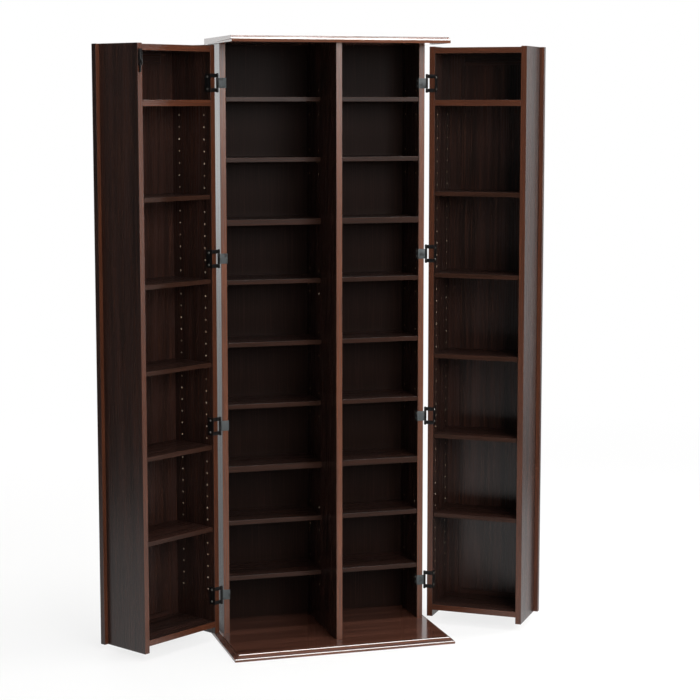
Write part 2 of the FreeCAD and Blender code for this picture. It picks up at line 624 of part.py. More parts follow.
def door(side):
    """All the pieces of one door, drawn about its hinge pin."""
    mirrored = side == "right"
    tag = f"{side}_door"

    def pin_holes(body, u, backwards):
        spots = [(w, FIRST_HOLE) for w in DOOR_ROWS]
        first = drill(body, "YZ_Plane", from_pin(side, u), spots, "pin_radius + fit", f"{PIN_DEPTH} + fit", backwards)
        row(body, first, PIN_COUNT, "pin_pitch")

    outline = (from_pin(side, "hinge_offset", "board"), LOW, "board", TALL)
    body = boards(f"{tag}_hinge_side", EDGE, "door_depth", [outline], side)
    pin_holes(body, HINGE_INNER, mirrored)
    spots = [(f"{EDGE} - wrap_screw_inset", z) for z in WRAP_SCREWS]
    drill(body, "YZ_Plane", from_pin(side, HINGE_INNER), spots, SCREW_HOLE, "screw_depth + fit", mirrored)

    outline = (from_pin(side, FREE_INNER, "board"), LOW, "board", TALL)
    body = boards(f"{tag}_free_side", EDGE, "door_depth", [outline], side)
    pin_holes(body, FREE_INNER, not mirrored)
    if side == "left":
        spots = [(BOLT_SCREW_U, z) for z in BOLT_SCREWS]
        depth = "screw_depth + fit + overrun"
        drill(body, "XZ_Plane", f"-({EDGE} + overrun)", spots, "bolt_screw_radius + fit", depth, True)

    x = from_pin(side, HINGE_INNER, DOOR_COLUMN)
    boards(f"{tag}_top", EDGE, "door_depth", [(x, UNDER_TOP, DOOR_COLUMN, "board")], side)
    boards(f"{tag}_bottom", EDGE, "door_depth", [(x, f"({LOW} + door_foot)", DOOR_COLUMN, "board")], side)
    level = f"({UNDER_TOP} - disc_row - board)"
    boards(f"{tag}_fixed_shelf", EDGE, "door_depth", [(x, level, DOOR_COLUMN, "board")], side)

    wide = f"({DOOR_COLUMN} - 2 * shelf_play)"
    x = from_pin(side, f"({HINGE_INNER} + shelf_play)", wide)
    outlines = [(x, f"({z} + pin_radius + fit)", wide, "shelf_board") for z in DOOR_PINS]
    depth = "door_depth - door_shelf_setback"
    boards(f"{tag}_shelves", f"({EDGE} - door_shelf_setback)", depth, outlines, side)

    body = start(f"{tag}_shelf_pins", side)
    spots = [(w, z) for w in DOOR_ROWS for z in DOOR_PINS]
    hinge_end = from_pin(side, f"({HINGE_INNER} - {PIN_DEPTH})")
    free_end = from_pin(side, f"({FREE_INNER} + {PIN_DEPTH})")
    posts(body, "YZ_Plane", hinge_end, spots, "pin_radius", "pin_length", mirrored)
    posts(body, "YZ_Plane", free_end, spots, "pin_radius", "pin_length", not mirrored)

    panel_wide = f"({FRONT_WIDE} - 2 * stile_width + 2 * rabbet)"
    panel_x = from_pin(side, "(hinge_offset + stile_width - rabbet)", panel_wide)
    panel_z = f"({LOW} + rail_width - rabbet)"
    panel_high = f"({TALL} - 2 * rail_width + 2 * rabbet)"

    def frame(label, outlines):
        body = boards(label, REAR, "front_board", outlines, side)
        made = sketch_on(body, "XZ_Plane", f"-({REAR} - panel_board)")
        rectangle(made, panel_x, panel_z, panel_wide, panel_high)
        cut(body, made, "panel_board + overrun")
        return body

    far_stile = f"(hinge_offset + {FRONT_WIDE} - stile_width)"
    body = frame(f"{tag}_stiles", [
        (from_pin(side, "hinge_offset", "stile_width"), LOW, "stile_width", TALL),
        (from_pin(side, far_stile, "stile_width"), LOW, "stile_width", TALL),
    ])
    knob_u = f"({far_stile} + stile_width / 2)"
    knob_z = f"({LOW} + knob_height_share * {TALL})"
    spot = (from_pin(side, knob_u), knob_z)
    depth = "stud_depth + fit + overrun"
    drill(body, "XZ_Plane", f"-({FACE} - overrun)", [spot], "stud_radius + fit", depth)
    rail_wide = f"({FRONT_WIDE} - 2 * stile_width)"
    rail_x = from_pin(side, "(hinge_offset + stile_width)", rail_wide)
    frame(f"{tag}_rails", [
        (rail_x, LOW, rail_wide, "rail_width"),
        (rail_x, f"({HIGH} - rail_width)", rail_wide, "rail_width"),
    ])
    outline = (
        f"({panel_x} + panel_play)", f"({panel_z} + panel_play)",
        f"({panel_wide} - 2 * panel_play)", f"({panel_high} - 2 * panel_play)",
    )
    boards(f"{tag}_panel", REAR, "panel_board", [outline], side, rounded=False)

    body = start(f"{tag}_knob", side)
    made = sketch_on(body, "YZ_Plane", from_pin(side, knob_u))
    ends = (FreeCAD.Vector(0, number(knob_z), 0), FreeCAD.Vector(number(FACE), number(knob_z), 0))
    axis = made.addGeometry(Part.LineSegment(ends[0], ends[1]), True)
    pin_point(made, axis, 1, "0", knob_z)
    pin_point(made, axis, 2, FACE, knob_z)

    def ring(out, radius, *arc):
        return (f"{FACE} - ({out})", f"{knob_z} + {radius}") + arc

    loop(made, (
        ring("-stud_depth", "0"), ring("-stud_depth", "stud_radius"), ring("0", "stud_radius"),
        ring("0", "knob_foot_radius"), ring("knob_foot_height", "knob_foot_radius"),
        ring("knob_foot_height", "knob_neck_radius"), ring("knob_neck_end", "knob_neck_radius"),
        ring("knob_neck_end", "knob_radius - knob_rounding", "knob_rounding"),
        ring("knob_neck_end + knob_rounding", "knob_radius"),
        ring(f"{KNOB_LONG} - knob_rounding", "knob_radius", "knob_rounding"),
        ring(KNOB_LONG, "knob_radius - knob_rounding"), ring(KNOB_LONG, "0"),
    ))
    turn(body, made, "Axis0")

    body = start(f"{tag}_leaves", side)
    made = sketch_on(body, "XZ_Plane", f"-({EDGE} + leaf)")
    wide = f"({HINGE_INNER} + leaf)"
    for z in HINGES:
        rectangle(made, from_pin(side, "0", wide), f"{z} - wrap_height / 2", wide, "wrap_height")
    swell(body, made, "leaf")
    knuckles(body, "wrap_height")
    window = sketch_on(body, "XZ_Plane", "overrun")
    gap = "(leaf_height + 2 * knuckle_gap)"
    wide = f"({HINGE_INNER} + overrun)"
    for z in HINGES:
        rectangle(window, from_pin(side, "-overrun", wide), f"{z} - {gap} / 2", wide, gap)
    cut(body, window, "2 * overrun")
    made = sketch_on(body, "YZ_Plane", from_pin(side, HINGE_INNER))
    for z in HINGES:
        rectangle(made, f"({EDGE} - wrap_depth)", f"{z} - wrap_height / 2", "wrap_depth + leaf", "wrap_height")
    swell(body, made, "leaf", mirrored)
    pin_bore(body)
    spots = [(f"{EDGE} - wrap_screw_inset", z) for z in WRAP_SCREWS]
    outside = from_pin(side, f"({HINGE_INNER} + leaf + overrun)")
    drill(body, "YZ_Plane", outside, spots, SCREW_HOLE, "leaf + 2 * overrun", mirrored)

    body = start(f"{tag}_leaf_screws", side)
    tips = from_pin(side, f"({HINGE_INNER} - screw_depth)")
    posts(body, "YZ_Plane", tips, spots, "screw_radius", "screw_depth + leaf", mirrored)
    heads = from_pin(side, f"({HINGE_INNER} + leaf)")
    posts(body, "YZ_Plane", heads, spots, "screw_head_radius", "screw_head_height", mirrored)


for side in SIDES:
    door(side)

# Slide bolt on the free edge of the left door

body = start("bolt_housing", "left")
made = sketch_on(body, "XY_Plane", BOLT_LOW)
near = f"({BOLT_MIDDLE} - {BOLT_PLATE_WIDE} / 2)"
case = f"({BOLT_EDGE} - bolt_case_width)"
plate = f"({EDGE} + bolt_plate)"
roof = f"({EDGE} + bolt_case_depth)"
ceiling = f"({roof} - bolt_wall)"
loop(made, (
    (near, EDGE), (BOLT_EDGE, EDGE), (BOLT_EDGE, roof),
    (f"{BOLT_U} + bolt_slot / 2", roof), (f"{BOLT_U} + bolt_slot / 2", ceiling),
    (f"{BOLT_EDGE} - bolt_wall", ceiling), (f"{BOLT_EDGE} - bolt_wall", plate),
    (f"{case} + bolt_wall", plate), (f"{case} + bolt_wall", ceiling),
    (f"{BOLT_U} - bolt_slot / 2", ceiling), (f"{BOLT_U} - bolt_slot / 2", roof),
    (case, roof), (case, plate), (near, plate),
))
swell(body, made, "bolt_plate_height")
spots = [(BOLT_SCREW_U, z) for z in BOLT_SCREWS]
drill(body, "XZ_Plane", f"-({EDGE} - overrun)", spots, "bolt_screw_radius + fit", "bolt_plate + 2 * overrun")

body = start("bolt", "left")
made = sketch_on(body, "XY_Plane", f"{BOLT_LOW} - bolt_tail")
rectangle(made, f"({BOLT_U} - {BOLT_WIDE} / 2)", BOLT_W, BOLT_WIDE, BOLT_THICK)
swell(body, made, "bolt_tail + bolt_plate_height - bolt_recess")
made = sketch_on(body, "XY_Plane", f"{BOLT_LOW} + bolt_thumb_low")
neck = "(bolt_slot - 2 * bolt_slack)"
rectangle(made, f"({BOLT_U} - {neck} / 2)", BOLT_W, neck, f"({roof} + bolt_thumb_rise - {BOLT_W})")
swell(body, made, "bolt_thumb_height")
made = sketch_on(body, "XY_Plane", f"{BOLT_LOW} + bolt_thumb_low")
grip = f"({roof} + bolt_thumb_rise / 2)"
rectangle(made, f"({BOLT_U} - {BOLT_WIDE} / 2)", grip, BOLT_WIDE, "bolt_thumb_rise / 2")
swell(body, made, "bolt_thumb_height")

body = start("bolt_screws", "left")
posts(body, "XZ_Plane", f"-({EDGE} - screw_depth)", spots, "bolt_screw_radius", "screw_depth + bolt_plate", True)
posts(body, "XZ_Plane", f"-{plate}", spots, "bolt_head_radius", "screw_head_height", True)

# Checks and files

document.recompute()
for item in document.Objects:
    if "Invalid" in item.State or "Error" in item.State:
        raise RuntimeError(f"{item.Label} was not computed: {item.State}")
for item in document.Objects:
    if item.TypeId == "PartDesign::Pocket" and item.Shape.Volume >= item.BaseFeature.Shape.Volume:
        raise RuntimeError(f"{item.Label} cuts nothing from its body")
for body in BODIES:
    if body.Shape.isNull() or not body.Shape.isValid() or not body.Shape.Solids:
        raise RuntimeError(f"{body.Label} is not a sound solid")

os.makedirs("parts", exist_ok=True)
for body in BODIES:
    body.Shape.exportStep(f"parts/{body.Label}.step")
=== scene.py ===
import math

import bpy
from mathutils import Matrix, Vector


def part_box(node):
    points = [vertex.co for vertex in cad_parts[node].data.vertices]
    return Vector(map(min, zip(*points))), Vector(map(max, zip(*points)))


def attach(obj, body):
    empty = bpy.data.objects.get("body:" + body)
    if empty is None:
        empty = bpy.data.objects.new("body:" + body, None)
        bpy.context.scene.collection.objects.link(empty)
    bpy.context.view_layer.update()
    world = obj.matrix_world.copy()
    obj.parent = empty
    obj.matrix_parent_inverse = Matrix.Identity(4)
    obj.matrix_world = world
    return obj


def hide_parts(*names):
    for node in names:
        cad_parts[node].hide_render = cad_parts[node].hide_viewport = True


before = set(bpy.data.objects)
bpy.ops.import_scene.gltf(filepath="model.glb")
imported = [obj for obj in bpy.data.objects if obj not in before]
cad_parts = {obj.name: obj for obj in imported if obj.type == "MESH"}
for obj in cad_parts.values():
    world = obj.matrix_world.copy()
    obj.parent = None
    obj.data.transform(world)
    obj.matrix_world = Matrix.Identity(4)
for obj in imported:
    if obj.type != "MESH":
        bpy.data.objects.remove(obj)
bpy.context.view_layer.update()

bl_info = {
    "name": "Disc Cabinet Finish",
    "version": (1, 0, 0),
    "blender": (4, 5, 0),
    "location": "View3D > Sidebar > Cabinet",
    "description": "Dresses a two-column disc cabinet with shelved doors and sets its studio",
    "category": "Object",
}

MM = 0.001
SIDES = ("left", "right")
# Turn about Z that brings an open door's boards back in line with the axes
DOOR_TURN = {"left": math.radians(148.0), "right": math.radians(-143.7)}
# Way along X from a side's hinge pin to the middle of the closed cabinet
HAND = {"left": 1.0, "right": -1.0}

UPRIGHTS = ("left_side", "right_side", "centre_divider")
SHELF_ROWS = ("low_fixed_shelf", "high_fixed_shelf", "lower_shelves", "middle_shelves", "upper_shelves")


def tone(text):
    """A colour written as sRGB hex, in the linear values that a shader takes."""
    values = [int(text[place:place + 2], 16) / 255 for place in (1, 3, 5)]
    linear = [value / 12.92 if value <= 0.04045 else ((value + 0.055) / 1.055) ** 2.4 for value in values]
    return (*linear, 1.0)


# Places that the CAD gives, in metres. On a door they are out from the hinge pin, deep and above the floor.
PIN = {"left": Vector((-0.2912, 0.0361, 0.0)), "right": Vector((0.2912, 0.0361, 0.0))}
HINGES = (0.125, 0.59024, 1.0410464, 1.505)
DOOR_LEAF_SCREW = (0.0236, -0.0133)
DOOR_LEAF_SPREAD = 0.016
CABINET_LEAF_SCREW = (0.2676, 0.046)
CABINET_LEAF_SPREAD = 0.007
BOLT_SCREW = (0.26595, -0.0018)
BOLT_SCREW_HEIGHTS = (1.552, 1.584)
KNOB = (0.2612, -0.1648, 0.812)
FRONT_OVERHANG = 0.0115

# Shank radius and length of the screws
HINGE_SHANK = (1.5 * MM, 12.4 * MM)
BOLT_SHANK = (1.1 * MM, 12.5 * MM)
SCREW_SIDES = 24
KNOB_SIDES = 48

# Profile of the moulding in millimetres, inward from the lip and up from the underside
LIP = 7.5
LEDGE = 3.5
COVE = 6.5
CROWN_INSET = 12.0
ARRIS = 1.4
BOARD = 16.0
COVE_STEPS = 6
# Bounds of the matt faces in metres: the hollow inward from the lip, the lip, and down from the upper face
HOLLOW_RUN = (2.2 * MM, 11.8 * MM)
HOLLOW_LIP = 7.2 * MM
BASE_CROWN = 1.0 * MM
TOP_CROWN = 2.1 * MM

# Real pores are about 0.4 mm wide. They are drawn 2.2 mm wide and 150 mm long so that they show.
PORE = (2.2 * MM, 150 * MM)
# Growth bands are about 24 mm wide and 1 m long.
GROWTH = (24 * MM, 1000 * MM)
FOIL = 0.35 * MM
MATT_ROUGHNESS = 0.6
# Specular level of the laminate's finishes
GLOSS = {"plain": 0.45, "shelf": 0.15, "moulded": 0.5, "matt": 0.08}
# A surface is an edge where its normal has less than this along the board's thickness.
EDGE_FACING = 0.6
# A face looks to the front where its normal has less than this along Y.
FRONT_FACING = -0.9

# Place of the camera in metres, and its turn in degrees
CAMERA_PLACE = (-1.386, -4.843, 1.46)
CAMERA_TURN = (83.18, 0.0, -16.65)
WHITE = (1.0, 1.0, 1.0, 1.0)
# Brightness of the mirrored backdrop straight behind the cabinet
BACKDROP = 1.85


class LaminateSettings(bpy.types.PropertyGroup):
    """Espresso wood-print laminate"""

    ground: bpy.props.FloatVectorProperty(
        name="Face", description="Colour of the faces between the streaks",
        subtype="COLOR", size=4, default=tone("#2F1D18"))
    shade: bpy.props.FloatVectorProperty(
        name="Dark bands", description="Colour of the dark growth bands",
        subtype="COLOR", size=4, default=tone("#1C110D"))
    streak: bpy.props.FloatVectorProperty(
        name="Streaks", description="Colour of the red-brown streaks",
        subtype="COLOR", size=4, default=tone("#482A1F"))
    band: bpy.props.FloatVectorProperty(
        name="Edge band", description="Colour of the edge banding",
        subtype="COLOR", size=4, default=tone("#6E422E"))
    band_shade: bpy.props.FloatVectorProperty(
        name="Edge band grain", description="Colour of the grain in the edge banding",
        subtype="COLOR", size=4, default=tone("#4E2C1D"))
    # The doors' edge band is a darker copy of the cabinet's banding: painted shade on the doors' edges.
    painted_shade_door_band: bpy.props.FloatVectorProperty(
        name="Door edge band", description="Colour of the edge banding on the doors",
        subtype="COLOR", size=4, default=tone("#57301F"))
    painted_shade_door_band_grain: bpy.props.FloatVectorProperty(
        name="Door edge band grain", description="Colour of the grain in the doors' edge banding",
        subtype="COLOR", size=4, default=tone("#3D2013"))
    # The shelves' edge band is a darker copy of the banding: painted shade on the shelf fronts.
    painted_shade_shelf_band: bpy.props.FloatVectorProperty(
        name="Shelf edge band", description="Colour of the edge banding on the shelves",
        subtype="COLOR", size=4, default=tone("#38221A"))
    painted_shade_shelf_band_grain: bpy.props.FloatVectorProperty(
        name="Shelf edge band grain", description="Colour of the grain in the shelves' edge banding",
        subtype="COLOR", size=4, default=tone("#27170F"))
    # The base and top take a lighter, redder copy of the foil: painted light from above on the moulded
    # boards.
    moulded: bpy.props.FloatVectorProperty(
        name="Base and top", description="Colour of the moulded boards",
        subtype="COLOR", size=4, default=tone("#5C392D"))
    painted_light_moulded_grain: bpy.props.FloatVectorProperty(
        name="Base and top grain", description="Colour of the dark bands of the moulded boards",
        subtype="COLOR", size=4, default=tone("#382018"))
    # The chipboard is near white, paler than bare chips: partly its own colour and partly painted light in
    # the shaded holes.
    core: bpy.props.FloatVectorProperty(
        name="Core", description="Colour of the chipboard inside drilled holes",
        subtype="COLOR", size=4, default=tone("#FBF1DF"))
    roughness: bpy.props.FloatProperty(
        name="Roughness", description="Roughness of the satin foil",
        default=0.27, min=0.0, max=1.0)
    polish: bpy.props.FloatProperty(
        name="Moulding roughness", description="Roughness of the moulded boards",
        default=0.14, min=0.0, max=1.0)


class HardwareSettings(bpy.types.PropertyGroup):
    """Hinges, bolt, screws and knobs"""

    enamel: bpy.props.FloatVectorProperty(
        name="Enamel", description="Colour of the black hardware",
        subtype="COLOR", size=4, default=tone("#0E0D0D"))
    # The cabinet leaves are grey on the same black enamel: painted sheen.
    leaf: bpy.props.FloatVectorProperty(
        name="Cabinet leaf", description="Colour of the hinge leaves on the cabinet",
        subtype="COLOR", size=4, default=tone("#4A4E4F"))
    plating: bpy.props.FloatVectorProperty(
        name="Plating", description="Colour of the plated screws",
        subtype="COLOR", size=4, default=tone("#C9C6C0"))
    bronze: bpy.props.FloatVectorProperty(
        name="Bronze", description="Colour of the shelf pins",
        subtype="COLOR", size=4, default=tone("#3A2A20"))
    screw_head: bpy.props.FloatProperty(
        name="Screw head", description="Radius of the hinge screws' heads",
        default=3.0 * MM, unit="LENGTH")
    bolt_head: bpy.props.FloatProperty(
        name="Bolt screw head", description="Radius of the bolt screws' heads",
        default=2.0 * MM, unit="LENGTH")
    cross_width: bpy.props.FloatProperty(
        name="Cross width", description="Width of the cross, of the head's radius",
        default=0.3, min=0.1, max=0.6)
    cross_depth: bpy.props.FloatProperty(
        name="Cross depth", description="Depth of the cross in a screw head",
        default=0.65 * MM, unit="LENGTH")
    knob: bpy.props.FloatProperty(
        name="Knob", description="Radius of the knobs",
        default=13.0 * MM, unit="LENGTH")
    edge: bpy.props.FloatProperty(
        name="Pressed edge", description="Rounding of the pressed steel",
        default=0.3 * MM, unit="LENGTH")


class StageSettings(bpy.types.PropertyGroup):
    """Floor, lights and camera"""

    floor: bpy.props.FloatVectorProperty(
        name="Floor", description="Colour of the floor",
        subtype="COLOR", size=4, default=tone("#F4F3F1"))
    sky: bpy.props.FloatProperty(
        name="Room light", description="Strength of the even light of the room",
        default=0.3, min=0.0)
    key: bpy.props.FloatProperty(
        name="Key", description="Power of the front softbox",
        default=160.0, unit="POWER")
    head: bpy.props.FloatProperty(
        name="Overhead", description="Power of the softbox above",
        default=75.0, unit="POWER")
    side: bpy.props.FloatProperty(
        name="Side", description="Power of the softbox at the right",
        default=80.0, unit="POWER")
    rear: bpy.props.FloatProperty(
        name="Rear", description="Power of the softbox behind",
        default=90.0, unit="POWER")
    glint: bpy.props.FloatProperty(
        name="Glint", description="Power of the softbox that draws highlights",
        default=800.0, unit="POWER")
    lens: bpy.props.FloatProperty(
        name="Lens", description="Focal length in millimetres",
        default=96.73, unit="CAMERA")
    fall: bpy.props.FloatProperty(
        name="Shift", description="Vertical shift of the lens",
        default=-0.0357)


def add_node(tree, kind, inputs=None, **settings):
    """Add a node. An input is a value, or a pair of another node and the name or number of its output."""
    node = tree.nodes.new(kind)
    for name, value in settings.items():
        setattr(node, name, value)
    for name, value in (inputs or {}).items():
        if isinstance(value, tuple) and isinstance(value[0], bpy.types.Node):
            tree.links.new(value[0].outputs[value[1]], node.inputs[name])
        else:
            node.inputs[name].default_value = value
    return node


def new_material(name):
    """An empty material and its node tree."""
    material = bpy.data.materials.new(name)
    material.use_nodes = True
    material.node_tree.nodes.clear()
    return material, material.node_tree


def local_box(node, turn):
    """Middle and half size of a CAD node along its own axes."""
    level = Matrix.Rotation(turn, 3, "Z")
    points = [level @ vertex.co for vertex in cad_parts[node].data.vertices]
    low = Vector([min(point[axis] for point in points) for axis in range(3)])
    high = Vector([max(point[axis] for point in points) for axis in range(3)])
    return (low + high) / 2, (high - low) / 2


def give(node, material):
    """Put one material on a CAD node."""
    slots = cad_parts[node].data.materials
    slots.clear()
    slots.append(material)


def deselect():
    """Leave edit mode and select nothing."""
    if bpy.context.object and bpy.context.object.mode != "OBJECT":
        bpy.ops.object.mode_set(mode="OBJECT")
    bpy.ops.object.select_all(action="DESELECT")


def pick(piece):
    """Make one piece the active and only selected object."""
    deselect()
    piece.select_set(True)
    bpy.context.view_layer.objects.active = piece


def smooth(piece, degrees):
    """Shade a piece smooth where its faces meet at less than an angle."""
    pick(piece)
    bpy.ops.object.shade_smooth_by_angle(angle=math.radians(degrees))


def grain_noise(tree, local, grain, size, detail, distortion=0.0):
    """Noise drawn out along the grain. The size is across and along it."""
    across, along = size
    stretch = [1 / across, 1 / across, 1 / across]
    stretch[0 if grain == "level" else 2] = 1 / along
    place = add_node(tree, "ShaderNodeVectorMath", {0: (local, "Vector"), 1: stretch}, operation="MULTIPLY")
    return add_node(tree, "ShaderNodeTexNoise", {
        "Vector": (place, 0), "Scale": 1.0, "Detail": detail, "Distortion": distortion})


def laminate(
        name, turn, grain, thickness, box=None, offset=(0, 0, 0), finish="plain", banded=True, flange=None):
    """Melamine foil printed as espresso wood on chipboard: satin faces with fine streaks along the grain,
    redder banding on the edges, and near-white chipboard in the drilled holes, partly its own pale colour
    and partly painted light. A flange is the sign of one end of the board and the distance from its middle
    past which its inner face is lighter. A shelf has a darker copy of the edge band, painted shade, and so
    have the doors. The moulded boards are polished by the press, matt in the hollow and on the lip, and
    take a
    lighter, redder copy of the foil: painted light."""
    settings = bpy.context.scene.cabinet_laminate
    roughness = {"moulded": settings.polish, "matt": MATT_ROUGHNESS}.get(finish, settings.roughness)
    shade, lighter = settings.shade, settings.ground
    # The moulded boards take the lighter copy of the foil: painted light.
    if finish in ("moulded", "matt"):
        shade, lighter = settings.painted_light_moulded_grain, settings.moulded
    material, tree = new_material(name)
    place = add_node(tree, "ShaderNodeTexCoord")
    shift = -box[0] if box else Vector(offset)
    local = add_node(tree, "ShaderNodeMapping", {
        "Vector": (place, "Object"), "Rotation": (0, 0, turn), "Location": shift})
    pores = grain_noise(tree, local, grain, PORE, 4.0)
    bands = grain_noise(tree, local, grain, GROWTH, 3.0, 0.5)
    band_part = add_node(tree, "ShaderNodeMapRange", {
        "Value": (bands, 0), "From Min": 0.32, "From Max": 0.66})
    pore_part = add_node(tree, "ShaderNodeMapRange", {
        "Value": (pores, 0), "From Min": 0.5, "From Max": 0.76, "To Max": 0.7})
    ground = add_node(tree, "ShaderNodeMix", {
        0: (band_part, 0), 6: tuple(shade), 7: tuple(lighter)}, data_type="RGBA")
    colour = add_node(tree, "ShaderNodeMix", {
        0: (pore_part, 0), 6: (ground, 2), 7: tuple(settings.streak)}, data_type="RGBA")
    aim = add_node(tree, "ShaderNodeMapping", {
        "Vector": (place, "Normal"), "Rotation": (0, 0, turn)}, vector_type="VECTOR")
    aims = add_node(tree, "ShaderNodeSeparateXYZ", {0: (aim, 0)})
    edge = None
    if banded:
        facing = add_node(tree, "ShaderNodeMath", {0: (aims, thickness)}, operation="ABSOLUTE")
        edge = add_node(tree, "ShaderNodeMath", {0: (facing, 0), 1: EDGE_FACING}, operation="LESS_THAN")
    elif flange:
        places = add_node(tree, "ShaderNodeSeparateXYZ", {0: (local, 0)})
        along = add_node(tree, "ShaderNodeMath", {0: (places, 0), 1: flange[0]}, operation="MULTIPLY")
        beyond = add_node(tree, "ShaderNodeMath", {0: (along, 0), 1: flange[1]}, operation="GREATER_THAN")
        inner = add_node(tree, "ShaderNodeMath", {
            0: (aims, thickness), 1: EDGE_FACING}, operation="GREATER_THAN")
        edge = add_node(tree, "ShaderNodeMath", {0: (beyond, 0), 1: (inner, 0)}, operation="MULTIPLY")
    if edge:
        dark, light = settings.band_shade, settings.band
        # The doors take the darker copy of the edge band: painted shade.
        if turn:
            dark, light = settings.painted_shade_door_band_grain, settings.painted_shade_door_band
        # The shelves take the darker copy of the edge band: painted shade, with less gloss.
        if finish == "shelf":
            dark, light = settings.painted_shade_shelf_band_grain, settings.painted_shade_shelf_band
        band_grain = add_node(tree, "ShaderNodeMapRange", {
            "Value": (pores, 0), "From Min": 0.34, "From Max": 0.64})
        banding = add_node(tree, "ShaderNodeMix", {
            0: (band_grain, 0), 6: tuple(dark), 7: tuple(light)}, data_type="RGBA")
        colour = add_node(tree, "ShaderNodeMix", {
            0: (edge, 0), 6: (colour, 2), 7: (banding, 2)}, data_type="RGBA")
    rough = add_node(tree, "ShaderNodeMapRange", {
        "Value": (pores, 0), "To Min": 1.25 * roughness, "To Max": 0.8 * roughness})
    if box and not flange:
        # Whatever lies deeper than the foil is chipboard, of chips about 1.6 mm across.
        reach = add_node(tree, "ShaderNodeVectorMath", {0: (local, "Vector")}, operation="ABSOLUTE")
        depth = add_node(tree, "ShaderNodeVectorMath", {0: (reach, 0), 1: box[1]}, operation="SUBTRACT")
        parts = add_node(tree, "ShaderNodeSeparateXYZ", {0: (depth, 0)})
        wide = add_node(tree, "ShaderNodeMath", {0: (parts, 0), 1: (parts, 1)}, operation="MAXIMUM")
        most = add_node(tree, "ShaderNodeMath", {0: (wide, 0), 1: (parts, 2)}, operation="MAXIMUM")
        deep = add_node(tree, "ShaderNodeMath", {0: (most, 0), 1: -FOIL}, operation="LESS_THAN")
        chips = add_node(tree, "ShaderNodeTexVoronoi", {
            "Vector": (local, "Vector"), "Scale": 1 / (1.6 * MM)})
        # The chipboard is near white, paler than bare chips: partly its own colour and partly painted light
        # in the shaded holes.
        core = add_node(tree, "ShaderNodeMix", {
            0: (chips, "Distance"), 6: tuple(settings.core), 7: tone("#A98B62")}, data_type="RGBA")
        colour = add_node(tree, "ShaderNodeMix", {
            0: (deep, 0), 6: (colour, 2), 7: (core, 2)}, data_type="RGBA")
        rough = add_node(tree, "ShaderNodeMix", {0: (deep, 0), 2: (rough, 0), 3: 0.9})
    relief = add_node(tree, "ShaderNodeBump", {
        "Height": (pores, 0), "Strength": 0.15, "Distance": 0.15 * MM})
    shader = add_node(tree, "ShaderNodeBsdfPrincipled", {
        "Base Color": (colour, 2), "Roughness": (rough, 0), "Normal": (relief, 0),
        "Specular IOR Level": GLOSS[finish]})
    add_node(tree, "ShaderNodeOutputMaterial", {"Surface": (shader, 0)})
    return material


def hardboard(name, rear):
    """Hardboard: espresso foil on the face, bare pressed fibre on the rear."""
    settings = bpy.context.scene.cabinet_laminate
    material, tree = new_material(name)
    place = add_node(tree, "ShaderNodeTexCoord")
    local = add_node(tree, "ShaderNodeMapping", {"Vector": (place, "Object")})
    pores = grain_noise(tree, local, "upright", PORE, 4.0)
    pore_part = add_node(tree, "ShaderNodeMapRange", {
        "Value": (pores, 0), "From Min": 0.5, "From Max": 0.76, "To Max": 0.6})
    foil = add_node(tree, "ShaderNodeMix", {
        0: (pore_part, 0), 6: tuple(settings.shade), 7: tuple(settings.ground)}, data_type="RGBA")
    # Bundles of fibre are about 4 mm long.
    fibre = add_node(tree, "ShaderNodeTexNoise", {
        "Vector": (local, 0), "Scale": 1 / (4 * MM), "Detail": 6.0})
    # Clouds of paler and darker pulp are about 90 mm across.
    clouds = add_node(tree, "ShaderNodeTexNoise", {
        "Vector": (local, 0), "Scale": 1 / (90 * MM), "Detail": 5.0, "Roughness": 0.6})
    cloud_part = add_node(tree, "ShaderNodeMapRange", {
        "Value": (clouds, 0), "From Min": 0.3, "From Max": 0.7})
    pulp = add_node(tree, "ShaderNodeMix", {
        0: (cloud_part, 0), 6: tone("#8A5F3E"), 7: tone("#A87A52")}, data_type="RGBA")
    felt = add_node(tree, "ShaderNodeMix", {
        0: (fibre, 0), 6: tone("#5A3C26"), 7: (pulp, 2)}, data_type="RGBA")
    parts = add_node(tree, "ShaderNodeSeparateXYZ", {0: (local, 0)})
    behind = add_node(tree, "ShaderNodeMath", {
        0: (parts, 1), 1: rear - 0.4 * MM}, operation="GREATER_THAN")
    colour = add_node(tree, "ShaderNodeMix", {
        0: (behind, 0), 6: (foil, 2), 7: (felt, 2)}, data_type="RGBA")
    rough = add_node(tree, "ShaderNodeMix", {0: (behind, 0), 2: settings.roughness + 0.1, 3: 0.8})
    relief = add_node(tree, "ShaderNodeBump", {"Height": (fibre, 0), "Strength": 0.1, "Distance": 0.2 * MM})
    shader = add_node(tree, "ShaderNodeBsdfPrincipled", {
        "Base Color": (colour, 2), "Roughness": (rough, 0), "Normal": (relief, 0),
        "Specular IOR Level": 0.04})
    add_node(tree, "ShaderNodeOutputMaterial", {"Surface": (shader, 0)})
    return material


